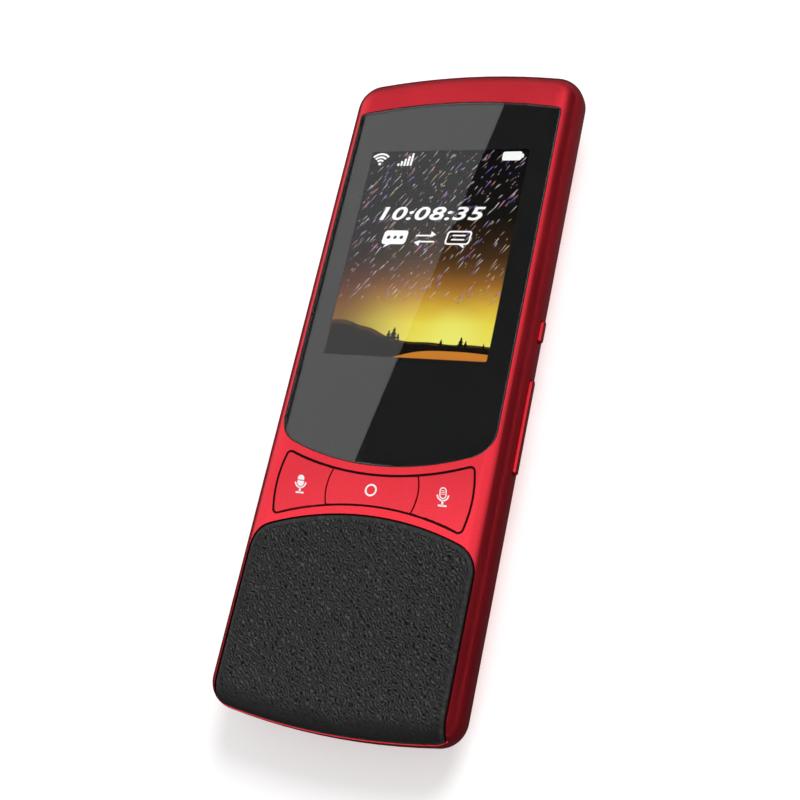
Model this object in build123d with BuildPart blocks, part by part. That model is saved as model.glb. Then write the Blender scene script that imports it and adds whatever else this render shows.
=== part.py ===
from build123d import *
import os
from math import radians, sin, sqrt

os.makedirs("parts", exist_ok=True)

# A bar-shaped handheld translator, lying on its back. X points to its right, Y to its top end,
# Z out of its screen, and the origin is the middle of the flat back. Millimetres.

# Fits
static_gap = 0.1  # between pieces that are fixed in one another
running_gap = 0.15  # between a moving piece and its opening
contact_gap = 0.05  # left between a fully pressed key and its switch
thread_gap = 0.03  # between a screw's shank and its hole

# Case
case_width = 53.2
case_length = 145.5
case_thickness = 10.2
top_bow = 2.4  # how far the middle of the end stands past its corners
bottom_bow = 2.5
top_corner = 6.3  # corner radii, seen from the front
bottom_corner = 5.5
front_roll = 4.8  # radius that the front face rolls over into the sides
rear_roll = 4.2
shell_wall = 1.1
parting_height = 3.0  # rear cover below, front housing above
lip_height = 0.5
lip_thickness = 0.6
parting_groove = 0.2  # shadow line above the parting, as wide as it is deep

# Cover glass and display
glass_side_rim = 3.1  # red left beside the glass
glass_top_rim = 8.9
glass_length = 84.4
glass_top_bow = 2.2
glass_top_corner = 0.8
glass_bottom_bow = 5.2
glass_bottom_corner = 6.0
glass_thickness = 0.8
glass_edge_break = 0.15
film_thickness = 0.15
view_width = 36.72
view_height = 48.96
view_top_border = 11.87  # black above the picture
view_corner = 0.6
module_border = 1.4  # the display module reaches this far past its picture
module_gap = 0.3
panel_thickness = 1.05
backlight_thickness = 1.4
flex_thickness = 0.2
flex_width = 12.0
flex_centre = 8.0
flex_drop = 0.7  # the flex folds down this far below the panel's lower edge

# Chassis plate behind the display and the keys
frame_thickness = 0.8
frame_side_margin = 0.05  # the plate reaches this far past the keys' board
frame_top_setback = 6.35  # from the glass's top
frame_overrun = 1.0  # the plate reaches this far below the pad's top
standoff_height = 2.2
standoff_radius = 1.5

# Keys: a bow-tie opening with three keys in it
keypad_below_glass = 5.1  # its middle
keypad_side_rim = 6.25  # at its corners
keypad_half_height = 6.95  # at its corners
keypad_waist = 3.7  # each long edge dips this far towards the middle
keypad_side_bow = 1.0
keypad_corner = 1.0
key_groove = 0.4
key_seam = 0.15
seam_half_width = 9.95
seam_radius = 10.5
key_wall = 1.1  # front wall round the keys
key_travel = 0.35
key_flange_width = 0.4
key_flange_thickness = 0.5
key_edge_round = 0.2
key_centre_pitch = 15.5
nub_radius = 1.0
nub_height = 0.2
key_board_thickness = 0.6
key_mat_thickness = 0.25
switch_size = 3.0
switch_corner = 0.4

# Leather pad
pad_side_rim = 2.4  # red rim left beside the pad
pad_below_keypad = 5.25  # below the keypad's middle
pad_top_bow = 5.05
pad_top_corner = 5.8
pad_lap = 0.4  # the pad runs over the bottom end and laps this far below its seat
pad_floor = 1.0
pad_gap = 0.2
leather_thickness = 1.0
lap_thickness = 0.6  # thinner where it laps the bottom end
carrier_inset = 0.9

# Side keys
side_key_height = 1.5
side_key_proud = 0.7
side_key_travel = 0.35
power_length = 4.8
power_from_top = 60.75
rocker_length = 19.8
side_key_pitch = 20.4
rocker_switch_offset = 6.5
side_flange = 0.25  # the retaining flange stands this far past the key all round
side_flange_thickness = 0.6
side_flange_setback = 0.5
side_key_round = 0.3
plunger_length = 0.2
side_switch_depth = 1.7
side_switch_length = 3.0
side_switch_height = 1.6
side_plunger_radius = 0.4
side_flex_thickness = 0.2
bracket_thickness = 0.4
bracket_overrun = 1.2
rocker_pin_radius = 0.4
rocker_pin_gap = 0.06
rocker_pin_depth = 1.15  # pin's axis behind the rocker's inner face
rocker_boss_wall = 0.5
rocker_boss_height = 1.4
rocker_tilt = 1.8  # degrees, each way

# Main board and what is on it
board_thickness = 0.8
board_side_gap = 2.2
board_top_setback = 1.5  # from the chassis plate's top
board_length = 39.5
board_screw_inset = 3.7
board_screw_side_inset = 3.3
can_height = 1.4
can_wall = 0.2
can_corner = 0.4
processor_width = 20.0
processor_length = 16.0
processor_above_edge = 12.0  # its middle above the board's lower edge
radio_width = 20.0
radio_length = 12.0
radio_below_edge = 10.5
can_x = 8.0
chip_size = 8.0
chip_height = 0.9
memory_size = 6.0
memory_x = -12.0
connector_width = 8.0
connector_depth = 2.5
connector_height = 1.0
connector_x = -10.0
connector_above_edge = 2.5
lead_thickness = 0.3
lead_width = 6.0

# Card tray and reader, on the left side
card_length = 12.3
card_width = 8.8
card_thickness = 0.67
card_gap = 0.1
tray_below_edge = 12.0  # its middle below the board's upper edge
tray_thickness = 1.2
tray_border = 0.8
tray_face_length = 12.4
tray_face_height = 1.9
tray_face_depth = 1.0
tray_eject_radius = 0.4
reader_wall = 0.25
reader_rail = 0.8

# Battery
battery_side_gap = 0.35  # to the chassis screws' heads beside it
battery_board_gap = 5.5
battery_speaker_gap = 2.5
battery_edge = 1.0
battery_swell_room = 0.7
tape_thickness = 0.2
tape_inset = 2.8
tape_length = 8.0

# Speaker
speaker_width = 30.0
speaker_length = 14.0
speaker_from_bottom = 23.25
speaker_edge = 1.5
speaker_round = 0.75
speaker_headroom = 0.5
mesh_thickness = 0.15
gasket_thickness = 0.4
gasket_wall = 1.5
slot_count = 7
slot_pitch = 2.6
slot_width = 1.1
slot_length = 8.0

# Charging socket, its board and the microphones
socket_width = 8.94
socket_height = 3.26
socket_depth = 7.35
socket_wall = 0.3
socket_setback = 0.3
tongue_thickness = 0.7
tongue_width = 6.7
usb_board_width = 32.0
usb_board_length = 10.0
usb_board_thickness = 0.6
socket_overhang = 4.6
mic_length = 3.8
mic_width = 2.9
mic_height = 1.0
mic_hole_radius = 0.5
upper_mic_x = 13.0
lower_mic_x = 11.0
lower_mic_from_bottom = 6.95
antenna_width = 22.0
antenna_length = 6.0
antenna_thickness = 0.3
antenna_corner = 1.0
antenna_x = -5.0
antenna_from_bottom = 7.75

# Screws
head_radius = 1.35
head_height = 0.55
shank_radius = 0.7
case_screw_side_inset = 6.6
case_screw_from_top = 12.75
case_screw_from_bottom = 10.75
case_boss_radius = 2.2
case_screw_reach = 2.6  # how far a case screw goes into its boss
frame_screw_reach = 1.6
upper_frame_screw_x = 12.0
upper_frame_screw_inset = 1.9  # from the plate's top
lower_frame_screw_inset = 2.5  # from the plate's side
lower_frame_screw_rise = 17.9  # above the plate's bottom
board_screw_reach = 1.6

# Heights, worked out from the front face down
glass_base = case_thickness - glass_thickness
film_base = glass_base - film_thickness
panel_base = film_base - panel_thickness
frame_upper = panel_base - backlight_thickness
frame_lower = frame_upper - frame_thickness
pad_seat = frame_lower + pad_floor
lap_lower = pad_seat - pad_lap
board_upper = frame_lower - standoff_height
board_lower = board_upper - board_thickness
key_wall_lower = case_thickness - key_wall
key_flange_upper = key_wall_lower - running_gap
key_lower = key_flange_upper - key_flange_thickness
key_board_upper = frame_upper + key_board_thickness
switch_upper = key_lower - nub_height - key_travel - contact_gap

# Heights, worked out from the back up
floor_upper = shell_wall
lip_upper = parting_height + lip_height
side_key_level = (lip_upper + frame_upper) / 2
socket_level = (floor_upper + frame_lower) / 2

# Ends and sides
half_width = case_width / 2
top_end = case_length / 2
bottom_end = -case_length / 2
inner_side = half_width - shell_wall
wall_pass = 3 * shell_wall  # a cut through a side starts one wall inside it and ends one outside

# Places along the front, from the top end down
glass_width = case_width - 2 * glass_side_rim
glass_top = top_end - glass_top_rim
glass_bottom = glass_top - glass_length
view_centre = glass_top - view_top_border - view_height / 2
keypad_centre = glass_bottom - keypad_below_glass
keypad_half_width = half_width - keypad_side_rim
key_board_grow = key_groove / 2 + key_flange_width
pad_width = case_width - 2 * pad_side_rim
pad_top = keypad_centre - pad_below_keypad
power_centre = top_end - power_from_top
rocker_centre = power_centre - side_key_pitch

# Places inside
frame_width = 2 * (keypad_half_width + keypad_side_bow + key_board_grow + frame_side_margin)
frame_top = glass_top - frame_top_setback
frame_bottom = pad_top + frame_overrun
board_width = 2 * (inner_side - board_side_gap)
board_top = frame_top - board_top_setback
board_bottom = board_top - board_length
processor_y = board_bottom + processor_above_edge
radio_y = board_top - radio_below_edge
connector_y = board_bottom + connector_above_edge
tray_centre = board_top - tray_below_edge
speaker_centre = bottom_end + speaker_from_bottom
lower_frame_screw_x = frame_width / 2 - lower_frame_screw_inset
battery_width = 2 * (lower_frame_screw_x - head_radius - battery_side_gap)
battery_top = board_bottom - battery_board_gap
battery_bottom = speaker_centre + speaker_length / 2 + battery_speaker_gap
lower_mic_y = bottom_end + lower_mic_from_bottom
antenna_y = bottom_end + antenna_from_bottom


def grown_bow(side, bow, grow):
    # How far an arc over a chord stands past it, after both have moved out
    radius = (side**2 + bow**2) / (2 * bow) + grow
    return radius - sqrt(radius**2 - (side + grow) ** 2)


def bowed_outline(width, top, bow_top, round_top, bottom, bow_bottom, round_bottom, grow=0.0):
    # Two straight sides between two ends that are arcs, with rounded corners. Grown, every edge
    # moves out by the same distance, so each bow follows from its larger arc.
    side = width / 2
    bow_top = grown_bow(side, bow_top, grow)
    bow_bottom = grown_bow(side, bow_bottom, grow)
    side += grow
    top += grow
    bottom -= grow
    with BuildSketch(Plane.XY) as outline:
        with BuildLine():
            Line((-side, bottom + bow_bottom), (-side, top - bow_top))
            ThreePointArc((-side, top - bow_top), (0, top), (side, top - bow_top))
            Line((side, top - bow_top), (side, bottom + bow_bottom))
            ThreePointArc((side, bottom + bow_bottom), (0, bottom), (-side, bottom + bow_bottom))
        make_face()
        fillet(outline.vertices().group_by(Axis.Y)[-1], round_top + grow)
        fillet(outline.vertices().group_by(Axis.Y)[0], round_bottom + grow)
    return outline.sketch


def case_outline(inset=0.0):
    return bowed_outline(
        case_width,
        top_end,
        top_bow,
        top_corner,
        bottom_end,
        bottom_bow,
        bottom_corner,
        -inset,
    )


def case_envelope(inset=0.0):
    # The closed case's outer form, drawn in by the inset on all sides
    with BuildPart() as envelope:
        with BuildSketch(Plane.XY.offset(inset)):
            add(case_outline(inset))
        extrude(amount=case_thickness - 2 * inset)
        fillet(envelope.faces().sort_by(Axis.Z)[-1].edges(), front_roll - inset)
        fillet(envelope.faces().sort_by(Axis.Z)[0].edges(), rear_roll - inset)
    return envelope.part


def case_slice(inset, lower, upper):
    # The part of the envelope between two heights
    with BuildPart() as piece:
        add(case_envelope(inset))
        split(bisect_by=Plane.XY.offset(lower), keep=Keep.TOP)
        split(bisect_by=Plane.XY.offset(upper), keep=Keep.BOTTOM)
    return piece.part


def glass_outline(grow=0.0):
    return bowed_outline(
        glass_width,
        glass_top,
        glass_top_bow,
        glass_top_corner,
        glass_bottom,
        glass_bottom_bow,
        glass_bottom_corner,
        grow,
    )


def pad_outline(grow=0.0):
    # Its top follows the keypad, and its sides run out past the case's bottom end
    return bowed_outline(
        pad_width,
        pad_top,
        pad_top_bow,
        pad_top_corner,
        bottom_end - 2 * bottom_corner,
        bottom_bow,
        bottom_corner,
        grow,
    )


def end_band(outer, inner, lower, upper, grow=0.0):
    # The layer of the case's bottom end between two insets, as wide as the pad
    with BuildPart() as band:
        add(case_slice(outer, lower, upper))
        add(case_slice(inner, lower, upper), mode=Mode.SUBTRACT)
        with BuildSketch(Plane.XY.offset(lower)):
            with Locations((0, bottom_end)):
                Rectangle(pad_width + 2 * grow, 4 * bottom_corner)
        extrude(amount=upper - lower, mode=Mode.INTERSECT)
    return band.part


def keypad_outline(grow=0.0):
    # Long edges dip towards the middle, and the short ones bow out
    corner_x = keypad_half_width
    upper = keypad_centre + keypad_half_height
    lower = keypad_centre - keypad_half_height
    with BuildSketch(Plane.XY) as outline:
        with BuildLine():
            ThreePointArc((-corner_x, upper), (0, upper - keypad_waist), (corner_x, upper))
            ThreePointArc((corner_x, upper), (corner_x + keypad_side_bow, keypad_centre), (corner_x, lower))
            ThreePointArc((corner_x, lower), (0, lower + keypad_waist), (-corner_x, lower))
            ThreePointArc((-corner_x, lower), (-corner_x - keypad_side_bow, keypad_centre), (-corner_x, upper))
        make_face()
        fillet(outline.vertices(), keypad_corner)
        if grow:
            offset(amount=grow)
    return outline.sketch


def seam_barrel(grow):
    # The region between the two seams, which bow outwards, drawn past the keypad's long edges
    reach = keypad_half_height
    end_x = seam_half_width - seam_radius + sqrt(seam_radius**2 - reach**2)
    with BuildSketch(Plane.XY) as barrel:
        with BuildLine():
            right = ThreePointArc(
                (end_x, keypad_centre - reach),
                (seam_half_width, keypad_centre),
                (end_x, keypad_centre + reach),
            )
            left = ThreePointArc(
                (-end_x, keypad_centre + reach),
                (-seam_half_width, keypad_centre),
                (-end_x, keypad_centre - reach),
            )
            Line(right @ 1, left @ 0)
            Line(left @ 1, right @ 0)
        make_face()
        offset(amount=grow, kind=Kind.INTERSECTION)
    return barrel.sketch


def export(name, builder):
    builder.part.label = name
    export_step(builder.part, f"parts/{name}.step")


# Where the screws and the side keys go
sides = (-1, 1)
case_screw_x = half_width - case_screw_side_inset
board_screw_x = board_width / 2 - board_screw_side_inset
upper_case_screws = [(side * case_screw_x, top_end - case_screw_from_top) for side in sides]
lower_case_screws = [(side * case_screw_x, bottom_end + case_screw_from_bottom) for side in sides]
frame_screw_places = [
    (side * x, y)
    for x, y in (
        (upper_frame_screw_x, frame_top - upper_frame_screw_inset),
        (lower_frame_screw_x, frame_bottom + lower_frame_screw_rise),
    )
    for side in sides
]
board_screw_places = [
    (side * board_screw_x, y)
    for y in (board_bottom + board_screw_inset, board_top - board_screw_inset)
    for side in sides
]
key_places = [
    (-key_centre_pitch, keypad_centre),
    (0, keypad_centre),
    (key_centre_pitch, keypad_centre),
]
side_keys = [(power_length, power_centre), (rocker_length, rocker_centre)]
tray_lower = board_upper + running_gap
tray_level = tray_lower + tray_thickness / 2
shank_hole = shank_radius + thread_gap
head_hole = head_radius + static_gap
module_width = view_width + 2 * module_border
module_height = view_height + 2 * module_border
module_bottom = view_centre - module_height / 2


# Front housing: the shell's front and sides
with BuildPart() as front_housing:
    add(case_slice(0, parting_height, case_thickness))
    # room for what is behind the chassis plate, and for the plate itself
    add(case_slice(shell_wall, floor_upper, frame_lower), mode=Mode.SUBTRACT)
    with BuildSketch(Plane.XY.offset(parting_height)):
        add(case_outline(shell_wall))
    extrude(amount=rear_roll - parting_height, mode=Mode.SUBTRACT)
    with BuildPart(mode=Mode.PRIVATE) as plate_room:
        add(case_slice(shell_wall, frame_lower, frame_upper))
        split(bisect_by=Plane.XZ.offset(-(frame_bottom - static_gap)), keep=Keep.BOTTOM)
    add(plate_room.part, mode=Mode.SUBTRACT)
    # seat for the glass and the film, and the window that the display stands in
    with BuildSketch(Plane.XY.offset(film_base)):
        add(glass_outline(static_gap))
    extrude(amount=case_thickness, mode=Mode.SUBTRACT)
    with BuildSketch(Plane.XY.offset(frame_upper)):
        with Locations((0, view_centre)):
            Rectangle(module_width + 2 * module_gap, module_height + 2 * module_gap)
        with Locations((flex_centre, module_bottom)):
            Rectangle(flex_width + 2 * module_gap, 2 * (flex_drop + flex_thickness + module_gap))
    extrude(amount=film_base - frame_upper, mode=Mode.SUBTRACT)
    # key opening, and the wider room below it for the keys' flanges
    with BuildSketch(Plane.XY.offset(frame_upper)):
        add(keypad_outline(key_groove / 2))
    extrude(amount=case_thickness, mode=Mode.SUBTRACT)
    with BuildSketch(Plane.XY.offset(frame_upper)):
        add(keypad_outline(key_board_grow + running_gap))
    extrude(amount=key_wall_lower - frame_upper, mode=Mode.SUBTRACT)
    # recess for the leather pad, and below it the one for the pad's lap
    with BuildSketch(Plane.XY.offset(pad_seat)):
        add(pad_outline(pad_gap))
    extrude(amount=case_thickness, mode=Mode.SUBTRACT)
    add(end_band(0, lap_thickness + static_gap, lap_lower - contact_gap, pad_seat, pad_gap), mode=Mode.SUBTRACT)
    # shadow line along the parting
    with BuildPart(mode=Mode.PRIVATE) as groove_ring:
        add(case_slice(0, parting_height, parting_height + parting_groove))
        add(case_slice(parting_groove, parting_height, parting_height + parting_groove), mode=Mode.SUBTRACT)
    add(groove_ring.part, mode=Mode.SUBTRACT)
    # side key openings
    with BuildSketch(Plane.YZ.offset(inner_side - shell_wall)):
        for length, centre in side_keys:
            with Locations((centre, side_key_level)):
                SlotOverall(length + 2 * running_gap, side_key_height + 2 * running_gap)
    extrude(amount=wall_pass, mode=Mode.SUBTRACT)
    # card tray opening
    with BuildSketch(Plane.YZ.offset(-half_width - shell_wall)):
        with Locations((tray_centre, tray_level)):
            SlotOverall(tray_face_length + 2 * running_gap, tray_face_height + 2 * running_gap)
    extrude(amount=wall_pass, mode=Mode.SUBTRACT)
    # charging socket and upper microphone, through the top end
    with BuildSketch(Plane.XZ.offset(-top_end - shell_wall)):
        with Locations((0, socket_level)):
            SlotOverall(socket_width + 2 * static_gap, socket_height + 2 * static_gap)
        with Locations((upper_mic_x, socket_level)):
            Circle(mic_hole_radius)
    extrude(amount=rear_roll + shell_wall, mode=Mode.SUBTRACT)
    # screws from the front, hidden by the film and by the pad
    for places, seat in ((upper_case_screws, film_base), (lower_case_screws, pad_seat)):
        with Locations(*[(x, y, seat) for x, y in places]):
            CounterBoreHole(shank_hole, head_hole, head_height + contact_gap, depth=seat)
    # blind holes for the chassis screws
    with BuildSketch(Plane.XY.offset(frame_upper)):
        with Locations(*frame_screw_places):
            Circle(shank_hole)
    extrude(amount=frame_screw_reach + static_gap, mode=Mode.SUBTRACT)

# Rear cover: a shallow dish with a lip, four bosses and the speaker's slots
with BuildPart() as rear_cover:
    add(case_slice(0, 0, parting_height))
    add(case_slice(shell_wall, floor_upper, parting_height), mode=Mode.SUBTRACT)
    with BuildSketch(Plane.XY.offset(parting_height - lip_thickness)):
        add(case_outline(shell_wall + static_gap))
        add(case_outline(shell_wall + static_gap + lip_thickness), mode=Mode.SUBTRACT)
    extrude(amount=lip_height + lip_thickness)
    for places, height in ((upper_case_screws, frame_upper), (lower_case_screws, frame_lower)):
        with BuildSketch(Plane.XY.offset(floor_upper)):
            with Locations(*places):
                Circle(case_boss_radius)
        extrude(amount=height - floor_upper)
        with BuildSketch(Plane.XY.offset(height - case_screw_reach - static_gap)):
            with Locations(*places):
                Circle(shank_hole)
        extrude(amount=case_screw_reach + static_gap, mode=Mode.SUBTRACT)
    with BuildSketch():
        with Locations((0, speaker_centre)):
            with GridLocations(slot_pitch, 1, slot_count, 1):
                SlotOverall(slot_length, slot_width, rotation=90)
        with Locations((lower_mic_x, lower_mic_y)):
            Circle(mic_hole_radius)
    extrude(amount=floor_upper, mode=Mode.SUBTRACT)
    with BuildSketch(Plane.XZ.offset(-top_end - shell_wall)):
        with Locations((0, socket_level)):
            SlotOverall(socket_width + 2 * static_gap, socket_height + 2 * static_gap)
        with Locations((upper_mic_x, socket_level)):
            Circle(mic_hole_radius)
    extrude(amount=rear_roll + shell_wall, mode=Mode.SUBTRACT)

# Cover glass, flush with the front face
with BuildPart() as cover_glass:
    with BuildSketch(Plane.XY.offset(glass_base)):
        add(glass_outline())
    extrude(amount=glass_thickness)
    chamfer(cover_glass.faces().sort_by(Axis.Z)[-1].edges(), glass_edge_break)

# Black printed border behind the glass
with BuildPart() as bezel_film:
    with BuildSketch(Plane.XY.offset(film_base)):
        add(glass_outline())
        with Locations((0, view_centre)):
            RectangleRounded(view_width, view_height, view_corner, mode=Mode.SUBTRACT)
    extrude(amount=film_thickness)

with BuildPart() as display_panel:
    with BuildSketch(Plane.XY.offset(panel_base)):
        with Locations((0, view_centre)):
            Rectangle(module_width, module_height)
    extrude(amount=panel_thickness)

with BuildPart() as backlight_unit:
    with BuildSketch(Plane.XY.offset(frame_upper)):
        with Locations((0, view_centre)):
            RectangleRounded(module_width, module_height, view_corner)
    extrude(amount=backlight_thickness)

# Flex: down from the panel's lower edge, along a channel in the chassis plate, then through it
flex_channel = frame_upper - flex_thickness
flex_hole = board_bottom - module_border
with BuildPart() as display_flex:
    with BuildSketch(Plane.YZ.offset(flex_centre - flex_width / 2)):
        with BuildLine():
            Polyline(
                (module_bottom, panel_base + flex_thickness),
                (module_bottom - flex_drop, panel_base + flex_thickness),
                (module_bottom - flex_drop, flex_channel),
                (flex_hole, flex_channel),
                (flex_hole, board_upper + flex_thickness),
                (connector_y, board_upper + flex_thickness),
            )
        trace(line_width=flex_thickness)
    extrude(amount=flex_width)
    with BuildSketch(Plane.YZ.offset(flex_centre - flex_width / 2)):
        with Locations((module_bottom + flex_thickness, panel_base + flex_thickness)):
            Rectangle(2 * flex_thickness, 2 * flex_thickness)
    extrude(amount=flex_width, mode=Mode.SUBTRACT)

# Chassis plate, with standoffs for the main board behind it
with BuildPart() as mid_frame:
    with BuildSketch(Plane.XY.offset(frame_lower)) as plate:
        with Locations((0, (frame_top + frame_bottom) / 2)):
            RectangleRounded(frame_width, frame_top - frame_bottom, standoff_radius)
        with Locations(*frame_screw_places):
            Circle(shank_hole, mode=Mode.SUBTRACT)
        with Locations((flex_centre, flex_hole)):
            Rectangle(flex_width + 2 * module_gap, flex_thickness + 2 * module_gap, mode=Mode.SUBTRACT)
    extrude(amount=frame_thickness)
    with BuildSketch(Plane.XY.offset(frame_upper)):
        with Locations((flex_centre, (flex_hole + module_bottom - flex_drop) / 2)):
            Rectangle(
                flex_width + 2 * module_gap,
                flex_hole - module_bottom + flex_drop + flex_thickness + 2 * module_gap,
            )
    extrude(amount=flex_channel - flex_thickness / 2 - static_gap - frame_upper, mode=Mode.SUBTRACT)
    with BuildSketch(Plane.XY.offset(board_upper)):
        with Locations(*board_screw_places):
            Circle(standoff_radius)
            Circle(shank_hole, mode=Mode.SUBTRACT)
    extrude(amount=standoff_height)

# Keys
with BuildPart() as key_centre:
    with BuildSketch(Plane.XY.offset(key_flange_upper)):
        add(keypad_outline(-key_groove / 2))
        add(seam_barrel(-key_seam / 2), mode=Mode.INTERSECT)
    extrude(amount=case_thickness - key_flange_upper)
    fillet(key_centre.faces().sort_by(Axis.Z)[-1].edges(), key_edge_round)
    with BuildSketch(Plane.XY.offset(key_lower)):
        add(keypad_outline(key_board_grow))
        add(seam_barrel(-key_seam / 2), mode=Mode.INTERSECT)
    extrude(amount=key_flange_thickness)
    with BuildSketch(Plane.XY.offset(key_lower - nub_height)):
        with Locations(key_places[1]):
            Circle(nub_radius)
    extrude(amount=nub_height)


def outer_key(place):
    # The keypad's end beyond one seam, on the side of the given place
    side = 1 if place[0] > 0 else -1
    with BuildPart() as key:
        for lower, thickness, grow in (
            (key_flange_upper, case_thickness - key_flange_upper, -key_groove / 2),
            (key_lower, key_flange_thickness, key_board_grow),
        ):
            with BuildSketch(Plane.XY.offset(lower)):
                add(keypad_outline(grow))
                add(seam_barrel(key_seam / 2), mode=Mode.SUBTRACT)
                with Locations((-side * half_width, keypad_centre)):
                    Rectangle(case_width, case_width, mode=Mode.SUBTRACT)
            extrude(amount=thickness)
            if lower == key_flange_upper:
                fillet(key.faces().sort_by(Axis.Z)[-1].edges(), key_edge_round)
        with BuildSketch(Plane.XY.offset(key_lower - nub_height)):
            with Locations(place):
                Circle(nub_radius)
        extrude(amount=nub_height)
    return key


key_left = outer_key(key_places[0])
key_right = outer_key(key_places[2])

# Board behind the keys, with a switch under each nub and a silicone sheet round them
with BuildPart() as key_board:
    with BuildSketch(Plane.XY.offset(frame_upper)):
        add(keypad_outline(key_board_grow))
    extrude(amount=key_board_thickness)

with BuildPart() as key_mat:
    with BuildSketch(Plane.XY.offset(key_board_upper)):
        add(keypad_outline(key_board_grow))
        with Locations(*key_places):
            Circle(switch_size, mode=Mode.SUBTRACT)
    extrude(amount=key_mat_thickness)

with BuildPart() as key_switches:
    with BuildSketch(Plane.XY.offset(key_board_upper)):
        with Locations(*key_places):
            RectangleRounded(switch_size, switch_size, switch_corner)
    extrude(amount=(switch_upper - key_board_upper) / 2)
    with BuildSketch(Plane.XY.offset(key_board_upper)):
        with Locations(*key_places):
            Circle(nub_radius)
    extrude(amount=switch_upper - key_board_upper)

# Leather pad: the case's own front surface inside the pad's outline, wrapped over its carrier,
# with a lap over the bottom end
with BuildPart() as leather_pad:
    add(case_slice(0, pad_seat, case_thickness))
    with BuildSketch(Plane.XY.offset(pad_seat)):
        add(pad_outline())
    extrude(amount=case_thickness, mode=Mode.INTERSECT)
    with BuildPart(mode=Mode.PRIVATE) as carrier_room:
        add(case_slice(leather_thickness, pad_seat, case_thickness))
        with BuildSketch(Plane.XY.offset(pad_seat)):
            add(pad_outline(-carrier_inset))
        extrude(amount=case_thickness, mode=Mode.INTERSECT)
    add(carrier_room.part, mode=Mode.SUBTRACT)
    add(end_band(0, lap_thickness, lap_lower, pad_seat))

with BuildPart() as pad_carrier:
    add(case_slice(leather_thickness + contact_gap, pad_seat, case_thickness))
    with BuildSketch(Plane.XY.offset(pad_seat)):
        add(pad_outline(-carrier_inset - contact_gap))
    extrude(amount=case_thickness, mode=Mode.INTERSECT)

# Side keys. Each is a rounded bar with a retaining flange inside the wall.
flange_outer = inner_side - side_flange_setback
flange_inner = flange_outer - side_flange_thickness
switch_face = flange_inner - side_key_travel - contact_gap - plunger_length
flex_face = switch_face - side_switch_depth
bracket_face = flex_face - side_flex_thickness
key_outer = half_width + side_key_proud


def side_key(length, centre):
    with BuildPart() as key:
        with BuildSketch(Plane.YZ.offset(flange_outer)):
            with Locations((centre, side_key_level)):
                SlotOverall(length, side_key_height)
        extrude(amount=key_outer - flange_outer)
        fillet(key.faces().sort_by(Axis.X)[-1].edges(), side_key_round)
        with BuildSketch(Plane.YZ.offset(flange_inner)):
            with Locations((centre, side_key_level)):
                SlotOverall(length + 2 * side_flange, side_key_height + 2 * side_flange)
        extrude(amount=side_flange_thickness)
    return key


power_button = side_key(power_length, power_centre)

# The rocker turns on a pin that stands in the bracket's two ears, between its switches
pin_x = flange_inner - rocker_pin_depth
boss_bore = rocker_pin_radius + rocker_pin_gap
boss_radius = boss_bore + rocker_boss_wall
boss_upper = frame_lower - bracket_thickness - running_gap
boss_lower = boss_upper - rocker_boss_height
ear_heights = [boss_lower - running_gap - bracket_thickness, boss_upper + running_gap]
with BuildPart() as volume_rocker:
    add(side_key(rocker_length, rocker_centre).part)
    with BuildSketch(Plane.XY.offset(boss_lower)):
        with Locations((pin_x + rocker_pin_depth / 2, rocker_centre)):
            Rectangle(rocker_pin_depth, 2 * boss_bore)
        with Locations((pin_x, rocker_centre)):
            Circle(boss_radius)
            Circle(boss_bore, mode=Mode.SUBTRACT)
    extrude(amount=rocker_boss_height)

with BuildPart() as rocker_pin:
    with BuildSketch(Plane.XY.offset(ear_heights[0])):
        with Locations((pin_x, rocker_centre)):
            Circle(rocker_pin_radius)
    extrude(amount=frame_lower - ear_heights[0])

bracket_top = power_centre + power_length / 2 + bracket_overrun
bracket_bottom = rocker_centre - rocker_length / 2 - bracket_overrun
bracket_middle = (bracket_top + bracket_bottom) / 2
with BuildPart() as side_bracket:
    with BuildSketch(Plane.YZ.offset(bracket_face - bracket_thickness)):
        with Locations((bracket_middle, (frame_lower + ear_heights[0]) / 2)):
            Rectangle(bracket_top - bracket_bottom, frame_lower - ear_heights[0])
    extrude(amount=bracket_thickness)
    for ear_lower in ear_heights:
        with BuildSketch(Plane.XY.offset(ear_lower)):
            with Locations(((bracket_face + pin_x) / 2, rocker_centre)):
                Rectangle(pin_x - bracket_face, 2 * boss_bore)
            with Locations((pin_x, rocker_centre)):
                Circle(boss_bore + rocker_pin_radius)
                Circle(rocker_pin_radius + thread_gap, mode=Mode.SUBTRACT)
        extrude(amount=bracket_thickness)

with BuildPart() as side_flex:
    with BuildSketch(Plane.YZ.offset(bracket_face)):
        with Locations((bracket_middle, side_key_level)):
            Rectangle(bracket_top - bracket_bottom, side_switch_height)
        with Locations((rocker_centre, frame_lower)):
            Rectangle(2 * (boss_radius + static_gap), 2 * (bracket_thickness + static_gap), mode=Mode.SUBTRACT)
    extrude(amount=side_flex_thickness)

# A switch for the power button, and one for each end of the rocker, whose plungers stand nearer
rocker_give = (rocker_switch_offset + side_plunger_radius) * sin(radians(rocker_tilt))
switches = [
    (power_centre, side_key_travel),
    (rocker_centre - rocker_switch_offset, rocker_give),
    (rocker_centre + rocker_switch_offset, rocker_give),
]
with BuildPart() as side_switches:
    for centre, give in switches:
        with BuildSketch(Plane.YZ.offset(flex_face)):
            with Locations((centre, side_key_level)):
                Rectangle(side_switch_length, side_switch_height)
        extrude(amount=side_switch_depth)
        with BuildSketch(Plane.YZ.offset(flex_face)):
            with Locations((centre, side_key_level)):
                Circle(side_plunger_radius)
        extrude(amount=flange_inner - give - contact_gap - flex_face)

# Main board
with BuildPart() as main_board:
    with BuildSketch(Plane.XY.offset(board_lower)):
        with Locations((0, (board_top + board_bottom) / 2)):
            RectangleRounded(board_width, board_top - board_bottom, standoff_radius)
        with Locations(*board_screw_places):
            Circle(shank_hole, mode=Mode.SUBTRACT)
    extrude(amount=board_thickness)


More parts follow.
